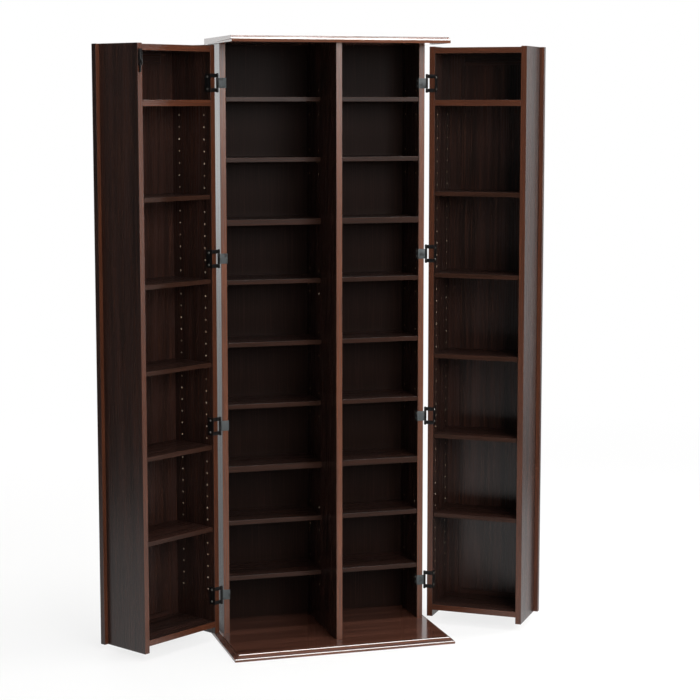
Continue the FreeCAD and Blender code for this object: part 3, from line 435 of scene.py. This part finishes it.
def black_steel(name, ground):
    """Pressed steel with stove enamel: satin, with a little orange peel and faint rubbed patches."""
    material, tree = new_material(name)
    place = add_node(tree, "ShaderNodeTexCoord")
    peel = add_node(tree, "ShaderNodeTexNoise", {
        "Vector": (place, "Object"), "Scale": 1 / (1.5 * MM), "Detail": 2.0})
    rubs = add_node(tree, "ShaderNodeTexNoise", {
        "Vector": (place, "Object"), "Scale": 1 / (14 * MM), "Detail": 5.0})
    worn = add_node(tree, "ShaderNodeMapRange", {"Value": (rubs, 0), "From Min": 0.55, "From Max": 0.75})
    colour = add_node(tree, "ShaderNodeMix", {
        0: (worn, 0), 6: tuple(ground), 7: tone("#262322")}, data_type="RGBA")
    rough = add_node(tree, "ShaderNodeMapRange", {"Value": (rubs, 0), "To Min": 0.3, "To Max": 0.48})
    relief = add_node(tree, "ShaderNodeBump", {"Height": (peel, 0), "Strength": 0.1, "Distance": 0.1 * MM})
    shader = add_node(tree, "ShaderNodeBsdfPrincipled", {
        "Base Color": (colour, 2), "Roughness": (rough, 0), "Normal": (relief, 0),
        "Specular IOR Level": 0.22})
    add_node(tree, "ShaderNodeOutputMaterial", {"Surface": (shader, 0)})
    return material


def plated_steel(name):
    """Nickel-plated steel: bright, with fine turning marks and a dulled bloom."""
    settings = bpy.context.scene.cabinet_hardware
    material, tree = new_material(name)
    place = add_node(tree, "ShaderNodeTexCoord")
    marks = add_node(tree, "ShaderNodeTexNoise", {
        "Vector": (place, "Object"), "Scale": 1 / (0.8 * MM), "Detail": 3.0})
    colour = add_node(tree, "ShaderNodeMix", {
        0: (marks, 0), 6: tone("#8E8C88"), 7: tuple(settings.plating)}, data_type="RGBA")
    rough = add_node(tree, "ShaderNodeMapRange", {"Value": (marks, 0), "To Min": 0.22, "To Max": 0.42})
    shader = add_node(tree, "ShaderNodeBsdfPrincipled", {
        "Base Color": (colour, 2), "Roughness": (rough, 0), "Metallic": 1.0})
    add_node(tree, "ShaderNodeOutputMaterial", {"Surface": (shader, 0)})
    return material


def bronzed_steel(name):
    """Steel pins with a dark bronze bath: brown, satin, rubbed paler in patches."""
    settings = bpy.context.scene.cabinet_hardware
    material, tree = new_material(name)
    place = add_node(tree, "ShaderNodeTexCoord")
    rubs = add_node(tree, "ShaderNodeTexNoise", {
        "Vector": (place, "Object"), "Scale": 1 / (3 * MM), "Detail": 4.0})
    worn = add_node(tree, "ShaderNodeMapRange", {"Value": (rubs, 0), "From Min": 0.5, "From Max": 0.75})
    colour = add_node(tree, "ShaderNodeMix", {
        0: (worn, 0), 6: tuple(settings.bronze), 7: tone("#5C4534")}, data_type="RGBA")
    rough = add_node(tree, "ShaderNodeMapRange", {"Value": (rubs, 0), "To Min": 0.34, "To Max": 0.5})
    shader = add_node(tree, "ShaderNodeBsdfPrincipled", {
        "Base Color": (colour, 2), "Roughness": (rough, 0), "Metallic": 1.0})
    add_node(tree, "ShaderNodeOutputMaterial", {"Surface": (shader, 0)})
    return material


def beech(name):
    """Bare beech: pale, with short flecks along the dowel."""
    material, tree = new_material(name)
    place = add_node(tree, "ShaderNodeTexCoord")
    flecks = add_node(tree, "ShaderNodeTexNoise", {
        "Vector": (place, "Object"), "Scale": 1 / (2 * MM), "Detail": 3.0})
    colour = add_node(tree, "ShaderNodeMix", {
        0: (flecks, 0), 6: tone("#C39B6C"), 7: tone("#DDBB8E")}, data_type="RGBA")
    rough = add_node(tree, "ShaderNodeMapRange", {"Value": (flecks, 0), "To Min": 0.6, "To Max": 0.75})
    shader = add_node(tree, "ShaderNodeBsdfPrincipled", {
        "Base Color": (colour, 2), "Roughness": (rough, 0)})
    add_node(tree, "ShaderNodeOutputMaterial", {"Surface": (shader, 0)})
    return material


def door_place(side, out, deep, height):
    """A point of an open door: out from its hinge pin, deep behind its opening edge, above the floor."""
    level = Matrix.Rotation(-DOOR_TURN[side], 3, "Z")
    return PIN[side] + level @ Vector((HAND[side] * out, deep, height))


def door_way(side, out, deep):
    """A level direction on an open door."""
    return (Matrix.Rotation(-DOOR_TURN[side], 3, "Z") @ Vector((HAND[side] * out, deep, 0))).normalized()


def turned(name, rings, sides):
    """A turned piece, raised ring by ring along Z from a disc. Each ring is a radius and a height."""
    deselect()
    bpy.ops.mesh.primitive_circle_add(vertices=sides, radius=rings[0][0], fill_type="NGON")
    piece = bpy.context.object
    piece.name = name
    bpy.ops.object.mode_set(mode="EDIT")
    bpy.ops.mesh.select_all(action="SELECT")
    bpy.ops.transform.translate(value=(0, 0, rings[0][1]))
    for (radius, height), (wider, higher) in zip(rings, rings[1:]):
        bpy.ops.mesh.extrude_region_move(TRANSFORM_OT_translate={"value": (0, 0, higher - height)})
        scale = wider / radius
        bpy.ops.transform.resize(value=(scale, scale, 1.0), center_override=(0, 0, higher))
    bpy.ops.mesh.select_all(action="SELECT")
    bpy.ops.mesh.normals_make_consistent(inside=False)
    bpy.ops.object.mode_set(mode="OBJECT")
    return piece


def cross_head_screw(radius, shank, length):
    """A pan-head screw along Z with its head's seat at height 0 and a cross pressed into the head."""
    settings = bpy.context.scene.cabinet_hardware
    top = 1.0 * MM
    screw = turned("screw", (
        (0.25 * shank, -length), (0.7 * shank, -length + 1.6 * MM), (shank, -length + 3.2 * MM),
        (shank, 0.0), (radius, 0.0), (radius, 0.25 * top), (0.94 * radius, 0.55 * top),
        (0.8 * radius, 0.8 * top), (0.58 * radius, 0.95 * top), (0.3 * radius, top)), SCREW_SIDES)
    deselect()
    bpy.ops.mesh.primitive_cube_add(size=1.0)
    cross = bpy.context.object
    bpy.ops.object.mode_set(mode="EDIT")
    wide = settings.cross_width * radius
    bpy.ops.transform.resize(value=(1.3 * radius, wide, 2 * settings.cross_depth))
    pick(cross)
    bpy.ops.object.duplicate()
    other = bpy.context.object
    other.rotation_euler.z = math.pi / 2
    for part in (cross, other):
        part.location.z = top
        cutter = screw.modifiers.new("cross", "BOOLEAN")
        cutter.object = part
        cutter.operation = "DIFFERENCE"
        pick(screw)
        bpy.ops.object.modifier_apply(modifier=cutter.name)
    bpy.data.objects.remove(cross)
    bpy.data.objects.remove(other)
    smooth(screw, 35)
    return screw


def placed(pattern, name, places):
    """Copies of a pattern joined into one piece. A place is a point, the way its Z aims, and a turn."""
    copies = []
    for point, way, turn in places:
        copy = bpy.data.objects.new(name, pattern.data.copy())
        bpy.context.scene.collection.objects.link(copy)
        aim = way.to_track_quat("Z", "Y").to_matrix().to_4x4()
        copy.matrix_world = Matrix.Translation(point) @ aim @ Matrix.Rotation(turn, 4, "Z")
        copies.append(copy)
    deselect()
    for copy in copies:
        copy.select_set(True)
    bpy.context.view_layer.objects.active = copies[0]
    bpy.ops.object.transform_apply(location=True, rotation=True, scale=True)
    if len(copies) > 1:
        bpy.ops.object.join()
    piece = bpy.context.object
    piece.name = name
    return piece


def stand_for(piece, node, body, material):
    """Let a finished piece take the place of a CAD node."""
    piece.data.materials.clear()
    piece.data.materials.append(material)
    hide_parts(node)
    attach(piece, body)


def wrapped_base():
    """The base board, raised ring by ring, with flat arrises along the moulding of front and ends."""
    low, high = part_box("base_panel")
    wide, deep = high[0] - low[0], high[1] - low[1]
    head = LIP + COVE
    cove = []
    for step in range(COVE_STEPS + 1):
        turn = math.radians(90 * step / COVE_STEPS)
        cove.append((LEDGE + COVE * math.sin(turn), head - COVE * math.cos(turn)))
    rings = [
        (0.0, 0.0), (0.0, LIP - ARRIS), (ARRIS, LIP), *cove,
        (CROWN_INSET, head), (CROWN_INSET, BOARD - ARRIS), (CROWN_INSET + ARRIS, BOARD)]
    deselect()
    bpy.ops.mesh.primitive_plane_add(size=1.0, location=(0, 0, 0))
    piece = bpy.context.object
    piece.name = "base_panel_wrapped"
    bpy.ops.object.mode_set(mode="EDIT")
    bpy.ops.mesh.select_all(action="SELECT")
    bpy.ops.transform.resize(value=(wide, deep, 1.0), center_override=(0, 0, 0))
    for (inset, height), (further, higher) in zip(rings, rings[1:]):
        bpy.ops.mesh.extrude_region_move(TRANSFORM_OT_translate={"value": (0, 0, (higher - height) * MM)})
        narrower = (wide - 2 * further * MM) / (wide - 2 * inset * MM)
        shorter = (deep - further * MM) / (deep - inset * MM)
        bpy.ops.transform.resize(value=(narrower, shorter, 1.0), center_override=(0, high[1], 0))
    bpy.ops.mesh.select_all(action="SELECT")
    bpy.ops.mesh.normals_make_consistent(inside=False)
    smooth(piece, 30)
    return piece


def merged_copy(node, name):
    """A copy of a CAD node with its loose triangles merged into whole faces."""
    piece = bpy.data.objects.new(name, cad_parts[node].data.copy())
    bpy.context.scene.collection.objects.link(piece)
    pick(piece)
    bpy.ops.object.mode_set(mode="EDIT")
    bpy.ops.mesh.select_all(action="SELECT")
    bpy.ops.mesh.remove_doubles(threshold=0.001 * MM)
    bpy.ops.mesh.dissolve_limited(angle_limit=math.radians(1.0))
    bpy.ops.object.mode_set(mode="OBJECT")
    return piece


def softened(node, width):
    """A copy of a pressed-steel CAD node with its sharp edges rounded."""
    piece = merged_copy(node, f"{node}_pressed")
    rounding = piece.modifiers.new("rounding", "BEVEL")
    rounding.width = width
    rounding.segments = 2
    rounding.limit_method = "ANGLE"
    rounding.angle_limit = math.radians(50)
    bpy.ops.object.modifier_apply(modifier=rounding.name)
    smooth(piece, 40)
    return piece


class CABINET_OT_boards(bpy.types.Operator):
    """Finish the boards of the cabinet"""

    bl_idname = "cabinet.boards"
    bl_label = "Laminate the cabinet"

    def execute(self, context):
        # The moulded and matt foils carry the lighter copy of the foil: painted light.
        moulded = laminate("laminate_moulded_painted_light", 0.0, "level", 2, finish="moulded")
        matt = laminate("laminate_matt_painted_light", 0.0, "level", 2, finish="matt")
        top = merged_copy("top_panel", "top_panel_wrapped")
        smooth(top, 30)
        stand_for(top, "top_panel", "cabinet", moulded)
        top.data.materials.append(matt)
        low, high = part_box("top_panel")
        for face in top.data.polygons:
            hollow = low[2] + HOLLOW_LIP < face.center.z < high[2] - TOP_CROWN
            if face.normal.y < FRONT_FACING and not hollow:
                face.material_index = 1
        base = wrapped_base()
        stand_for(base, "base_panel", "cabinet", moulded)
        base.data.materials.append(matt)
        low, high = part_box("base_panel")
        for face in base.data.polygons:
            middle = face.center
            run = min(middle.y - low[1], middle.x - low[0], high[0] - middle.x)
            in_hollow = HOLLOW_LIP < middle.z < high[2] - BASE_CROWN
            if in_hollow and HOLLOW_RUN[0] < run < HOLLOW_RUN[1]:
                face.material_index = 1
        # The shelves carry the darker edge band: painted shade.
        shelf = laminate("laminate_shelves_painted_shade", 0.0, "level", 2, finish="shelf")
        for side in SIDES:
            for row in SHELF_ROWS:
                give(f"{side}_{row}", shelf)
        for node in UPRIGHTS:
            give(node, laminate(f"laminate_{node}", 0.0, "upright", 0, local_box(node, 0.0)))
        for side in SIDES:
            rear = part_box(f"{side}_back")[1][1]
            give(f"{side}_back", hardboard(f"hardboard_{side}_back", rear))
        return {"FINISHED"}


class CABINET_OT_doors(bpy.types.Operator):
    """Finish the boards of both doors"""

    bl_idname = "cabinet.doors"
    bl_label = "Laminate the doors"

    def execute(self, context):
        for side in SIDES:
            turn = DOOR_TURN[side]
            tag = f"{side}_door"
            for piece in ("hinge_side", "free_side"):
                node = f"{tag}_{piece}"
                give(node, laminate(f"laminate_{node}", turn, "upright", 0, local_box(node, turn)))
            level = laminate(f"laminate_{tag}_shelves", turn, "level", 2)
            for piece in ("top", "bottom", "fixed_shelf"):
                give(f"{tag}_{piece}", level)
            # The loose shelves carry the darker edge band: painted shade.
            loose = laminate(f"laminate_{tag}_loose_shelves_painted_shade", turn, "level", 2, finish="shelf")
            give(f"{tag}_shelves", loose)
            frame_box = local_box(f"{tag}_stiles", turn)
            flange = (HAND[side], frame_box[1].x - FRONT_OVERHANG)
            give(f"{tag}_stiles", laminate(
                f"laminate_{tag}_stiles", turn, "upright", 1, frame_box, banded=False, flange=flange))
            # Rails and panel are cut from other places of the printed grain.
            give(f"{tag}_rails", laminate(
                f"laminate_{tag}_rails", turn, "level", 1, offset=(0.7, 0.2, 0.4), banded=False))
            give(f"{tag}_panel", laminate(
                f"laminate_{tag}_panel", turn, "upright", 1, offset=(1.3, 0.6, 2.1), banded=False))
        return {"FINISHED"}


class CABINET_OT_screws(bpy.types.Operator):
    """Cross-head screws of the hinges and the slide bolt"""

    bl_idname = "cabinet.screws"
    bl_label = "Drive the screws"

    def execute(self, context):
        settings = context.scene.cabinet_hardware
        bright = plated_steel("nickel_plated_steel")
        pattern = cross_head_screw(settings.screw_head, *HINGE_SHANK)
        for side in SIDES:
            # Each cross stands at another angle, as the driver left it.
            places = []
            for hinge in HINGES:
                for height in (hinge - DOOR_LEAF_SPREAD, hinge + DOOR_LEAF_SPREAD):
                    point = door_place(side, *DOOR_LEAF_SCREW, height)
                    places.append((point, door_way(side, 1, 0), 0.7 * len(places)))
            piece = placed(pattern, f"{side}_door_leaf_cross_screws", places)
            stand_for(piece, f"{side}_door_leaf_screws", f"{side}_door", bright)
            x, y = CABINET_LEAF_SCREW
            inward = Vector((HAND[side], 0, 0))
            places = []
            for hinge in HINGES:
                for height in (hinge - CABINET_LEAF_SPREAD, hinge + CABINET_LEAF_SPREAD):
                    point = Vector((-HAND[side] * x, y, height))
                    places.append((point, inward, 0.9 * len(places)))
            piece = placed(pattern, f"{side}_cabinet_leaf_cross_screws", places)
            stand_for(piece, f"{side}_cabinet_leaf_screws", "cabinet", bright)
        bpy.data.objects.remove(pattern)
        pattern = cross_head_screw(settings.bolt_head, *BOLT_SHANK)
        places = [
            (door_place("left", *BOLT_SCREW, height), door_way("left", 0, 1), 0.4 + index)
            for index, height in enumerate(BOLT_SCREW_HEIGHTS)]
        piece = placed(pattern, "bolt_cross_screws", places)
        stand_for(piece, "bolt_screws", "left_door", bright)
        bpy.data.objects.remove(pattern)
        for node in ("base_screws", "back_nails"):
            give(node, bright)
        return {"FINISHED"}


class CABINET_OT_knobs(bpy.types.Operator):
    """Turned knobs of the two doors"""

    bl_idname = "cabinet.knobs"
    bl_label = "Turn the knobs"

    def execute(self, context):
        settings = context.scene.cabinet_hardware
        black = black_steel("black_enamelled_knob", settings.enamel)
        # Share of the knob's radius, and millimetres out from the stile
        profile = (
            (0.192, -12.0), (0.192, 0.0), (0.615, 0.0), (0.615, 1.3), (0.57, 1.8), (0.5, 2.1), (0.44, 2.9),
            (0.41, 4.2), (0.4, 5.6), (0.42, 7.2), (0.48, 8.4), (0.6, 9.0), (0.74, 9.15), (0.88, 9.8),
            (0.96, 10.9), (1.0, 12.4), (1.0, 15.2), (0.985, 16.6), (0.93, 17.9), (0.84, 18.9), (0.73, 19.5),
            (0.64, 19.75), (0.62, 19.45), (0.585, 19.4), (0.56, 19.7), (0.3, 19.95), (0.04, 20.0))
        rings = [(share * settings.knob, height * MM) for share, height in profile]
        pattern = turned("knob", rings, KNOB_SIDES)
        smooth(pattern, 50)
        for side in SIDES:
            piece = placed(pattern, f"{side}_door_turned_knob", [
                (door_place(side, *KNOB), door_way(side, 0, -1), 0.0)])
            stand_for(piece, f"{side}_door_knob", f"{side}_door", black)
        bpy.data.objects.remove(pattern)
        return {"FINISHED"}


class CABINET_OT_hardware(bpy.types.Operator):
    """Pressed-steel hinges and slide bolt, pins and dowels"""

    bl_idname = "cabinet.hardware"
    bl_label = "Finish the hardware"

    def execute(self, context):
        settings = context.scene.cabinet_hardware
        edge = settings.edge
        black = black_steel("black_enamelled_steel", settings.enamel)
        # The cabinet leaves' grey is painted sheen on black enamel.
        painted_sheen_grey = black_steel("black_enamel_painted_sheen", settings.leaf)
        bronze = bronzed_steel("bronzed_steel")
        wood = beech("bare_beech")
        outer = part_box("right_side")[1][0]
        for side in SIDES:
            for piece, body, finish in (
                ("cabinet_leaves", "cabinet", painted_sheen_grey), ("hinge_pins", "cabinet", black),
                ("door_leaves", f"{side}_door", black),
            ):
                node = f"{side}_{piece}"
                steel = softened(node, edge)
                stand_for(steel, node, body, finish)
                if finish == painted_sheen_grey:
                    # The cabinet leaves' grey is painted sheen; the knuckles, out past the cabinet's side,
                    # keep the plain black enamel.
                    steel.data.materials.append(black)
                    for face in steel.data.polygons:
                        if abs(face.center.x) > outer:
                            face.material_index = 1
            for piece in ("shelf_pins", "door_shelf_pins"):
                give(f"{side}_{piece}", bronze)
        for node, body in (("bolt_housing", "left_door"), ("bolt", "bolt")):
            stand_for(softened(node, edge), node, body, black)
        for node in ("shelf_dowels", "top_dowels"):
            give(node, wood)
        return {"FINISHED"}


def backdrop_light(tree, way, aside, straight):
    """Brightness of the studio in mirrored light: bright towards the backdrop, dim towards the room. The
    backdrop has one level to the sides and another, from a node, straight behind the cabinet."""
    aims = add_node(tree, "ShaderNodeSeparateXYZ", {0: (way, 0)})
    part = add_node(tree, "ShaderNodeMapRange", {"Value": (aims, 1), "From Min": 0.3, "From Max": 0.85})
    curve = add_node(tree, "ShaderNodeMath", {0: (part, 0), 1: 1.4}, operation="POWER")
    share = add_node(tree, "ShaderNodeMapRange", {"Value": (curve, 0), "To Min": 0.04, "To Max": 1.0})
    middle = add_node(tree, "ShaderNodeMapRange", {
        "Value": (aims, 1), "From Min": 0.7, "From Max": 0.95}, interpolation_type="SMOOTHSTEP")
    level = add_node(tree, "ShaderNodeMix", {0: (middle, 0), 2: aside, 3: (straight, 0)})
    return add_node(tree, "ShaderNodeMath", {0: (share, 0), 1: (level, 0)}, operation="MULTIPLY")


def white_paper(settings):
    """Matt white paper. Seen directly it is white, less so near the cabinet, where it takes the shadow.
    Mirrored in the foil it is white for two metres to the front, and dim behind up to the lit backdrop."""
    material, tree = new_material("white_paper")
    rays = add_node(tree, "ShaderNodeLightPath")
    place = add_node(tree, "ShaderNodeTexCoord")
    reach = add_node(tree, "ShaderNodeVectorMath", {0: (place, "Object")}, operation="LENGTH")
    shown = add_node(tree, "ShaderNodeMath", {
        0: (rays, "Is Camera Ray"), 1: (rays, "Is Transmission Ray")}, operation="MAXIMUM")
    bare = add_node(tree, "ShaderNodeMapRange", {
        "Value": (reach, "Value"), "From Min": 0.8, "From Max": 4.0, "To Min": 0.8, "To Max": 1.0},
        interpolation_type="SMOOTHSTEP")
    share = add_node(tree, "ShaderNodeMath", {0: (shown, 0), 1: (bare, 0)}, operation="MULTIPLY")
    matt = add_node(tree, "ShaderNodeBsdfPrincipled", {
        "Base Color": tuple(settings.floor), "Roughness": 0.9, "Specular IOR Level": 0.1})
    white = add_node(tree, "ShaderNodeEmission", {"Color": WHITE, "Strength": 1.0})
    direct = add_node(tree, "ShaderNodeMixShader", {0: (share, 0), 1: (matt, 0), 2: (white, 0)})
    near = add_node(tree, "ShaderNodeMapRange", {
        "Value": (reach, "Value"), "From Min": 1.6, "From Max": 3.2, "To Min": 0.95, "To Max": 0.0},
        interpolation_type="SMOOTHSTEP")
    way = add_node(tree, "ShaderNodeVectorMath", {0: (place, "Object")}, operation="NORMALIZE")
    ways = add_node(tree, "ShaderNodeSeparateXYZ", {0: (way, 0)})
    front = add_node(tree, "ShaderNodeMapRange", {
        "Value": (ways, 1), "From Min": -0.2, "From Max": 0.7, "To Min": 1.0, "To Max": 0.4})
    lit = add_node(tree, "ShaderNodeMath", {0: (near, 0), 1: (front, 0)}, operation="MULTIPLY")
    # Straight behind, the paper grows brighter over the 25 m to the backdrop.
    far = add_node(tree, "ShaderNodeMapRange", {
        "Value": (reach, "Value"), "From Max": 25.0, "To Min": 0.38, "To Max": BACKDROP})
    behind = backdrop_light(tree, way, 0.6, far)
    bright = add_node(tree, "ShaderNodeMath", {0: (lit, 0), 1: (behind, 0)}, operation="MAXIMUM")
    mirrored = add_node(tree, "ShaderNodeEmission", {"Color": WHITE, "Strength": (bright, 0)})
    both = add_node(tree, "ShaderNodeMixShader", {
        0: (rays, "Is Glossy Ray"), 1: (direct, 0), 2: (mirrored, 0)})
    add_node(tree, "ShaderNodeOutputMaterial", {"Surface": (both, 0)})
    return material


def studio_world(settings):
    """Even room light on the object, white where it is seen directly, and the lit backdrop in the foil."""
    world = bpy.data.worlds.new("studio_world")
    world.use_nodes = True
    tree = world.node_tree
    tree.nodes.clear()
    rays = add_node(tree, "ShaderNodeLightPath")
    place = add_node(tree, "ShaderNodeTexCoord")
    shown = add_node(tree, "ShaderNodeMath", {
        0: (rays, "Is Camera Ray"), 1: (rays, "Is Transmission Ray")}, operation="MAXIMUM")
    dim = add_node(tree, "ShaderNodeBackground", {"Color": WHITE, "Strength": settings.sky})
    white = add_node(tree, "ShaderNodeBackground", {"Color": WHITE, "Strength": 1.0})
    direct = add_node(tree, "ShaderNodeMixShader", {0: (shown, 0), 1: (dim, 0), 2: (white, 0)})
    way = add_node(tree, "ShaderNodeVectorMath", {0: (place, "Object")}, operation="NORMALIZE")
    ways = add_node(tree, "ShaderNodeSeparateXYZ", {0: (way, 0)})
    low = add_node(tree, "ShaderNodeMapRange", {
        "Value": (ways, 2), "From Max": 0.2, "To Min": BACKDROP, "To Max": 1.0})
    mirrored = add_node(tree, "ShaderNodeBackground", {
        "Color": WHITE, "Strength": (backdrop_light(tree, way, 1.0, low), 0)})
    both = add_node(tree, "ShaderNodeMixShader", {
        0: (rays, "Is Glossy Ray"), 1: (direct, 0), 2: (mirrored, 0)})
    add_node(tree, "ShaderNodeOutputWorld", {"Surface": (both, 0)})
    return world


class CABINET_OT_stage(bpy.types.Operator):
    """Floor, lights and camera of the studio"""

    bl_idname = "cabinet.stage"
    bl_label = "Set the studio"

    def execute(self, context):
        settings = context.scene.cabinet_stage
        deselect()
        bpy.ops.mesh.primitive_plane_add(size=120.0, location=(0, 0, 0))
        floor = context.object
        floor.name = "studio_floor"
        floor.data.materials.append(white_paper(settings))
        context.scene.world = studio_world(settings)
        # Name, place, point aimed at, width and height, and power
        for name, place, aim, size, power in (
            ("key_softbox", (0.8, -4.6, 2.6), (0.0, 0.0, 0.8), (2.4, 2.4), settings.key),
            ("overhead_softbox", (0.5, -0.7, 4.4), (0.1, -0.1, 0.0), (1.1, 1.1), settings.head),
            ("side_softbox", (2.8, 0.0, 1.1), (0.55, -0.1, 0.8), (1.0, 1.6), settings.side),
            ("rear_softbox", (-0.6, 4.4, 2.4), (0.0, 0.0, 0.8), (2.0, 2.0), settings.rear),
            ("moulding_softbox", (1.0, -0.6, 4.4), (1.0, -0.6, 0.0), (2.4, 3.4), settings.glint),
        ):
            deselect()
            bpy.ops.object.light_add(type="AREA", location=place)
            lamp = context.object
            lamp.name = name
            lamp.data.energy = power
            lamp.data.shape = "RECTANGLE"
            lamp.data.size, lamp.data.size_y = size
            # The widest softbox only draws the highlights along the mouldings, and the rear one draws none.
            lamp.visible_diffuse = name != "moulding_softbox"
            lamp.visible_glossy = name != "rear_softbox"
            lamp.rotation_euler = (Vector(aim) - Vector(place)).to_track_quat("-Z", "Y").to_euler()
        deselect()
        bpy.ops.object.camera_add(
            location=CAMERA_PLACE, rotation=[math.radians(angle) for angle in CAMERA_TURN])
        camera = context.object
        camera.name = "photo_camera"
        camera.data.sensor_width = 36.0
        camera.data.lens = settings.lens
        camera.data.shift_y = settings.fall
        camera.data.clip_end = 300.0
        context.scene.camera = camera
        context.scene.view_settings.view_transform = "Standard"
        return {"FINISHED"}


class CABINET_PT_panel(bpy.types.Panel):
    """Steps that dress the cabinet"""

    bl_label = "Disc cabinet"
    bl_idname = "CABINET_PT_panel"
    bl_space_type = "VIEW_3D"
    bl_region_type = "UI"
    bl_category = "Cabinet"

    def draw(self, context):
        for operator in OPERATORS:
            self.layout.operator(operator.bl_idname)
        for group in GROUPS:
            settings = getattr(context.scene, group)
            for name in settings.__annotations__:
                self.layout.prop(settings, name)


OPERATORS = (
    CABINET_OT_boards, CABINET_OT_doors, CABINET_OT_screws, CABINET_OT_knobs, CABINET_OT_hardware,
    CABINET_OT_stage)
GROUPS = {
    "cabinet_laminate": LaminateSettings,
    "cabinet_hardware": HardwareSettings,
    "cabinet_stage": StageSettings,
}
CLASSES = (*GROUPS.values(), *OPERATORS, CABINET_PT_panel)


def register():
    for item in CLASSES:
        bpy.utils.register_class(item)
    for name, group in GROUPS.items():
        setattr(bpy.types.Scene, name, bpy.props.PointerProperty(type=group))


def unregister():
    for name in GROUPS:
        delattr(bpy.types.Scene, name)
    for item in reversed(CLASSES):
        bpy.utils.unregister_class(item)


def main():
    register()
    bpy.ops.cabinet.boards()
    bpy.ops.cabinet.doors()
    bpy.ops.cabinet.screws()
    bpy.ops.cabinet.knobs()
    bpy.ops.cabinet.hardware()
    bpy.ops.cabinet.stage()


if __name__ == "__main__":
    main()
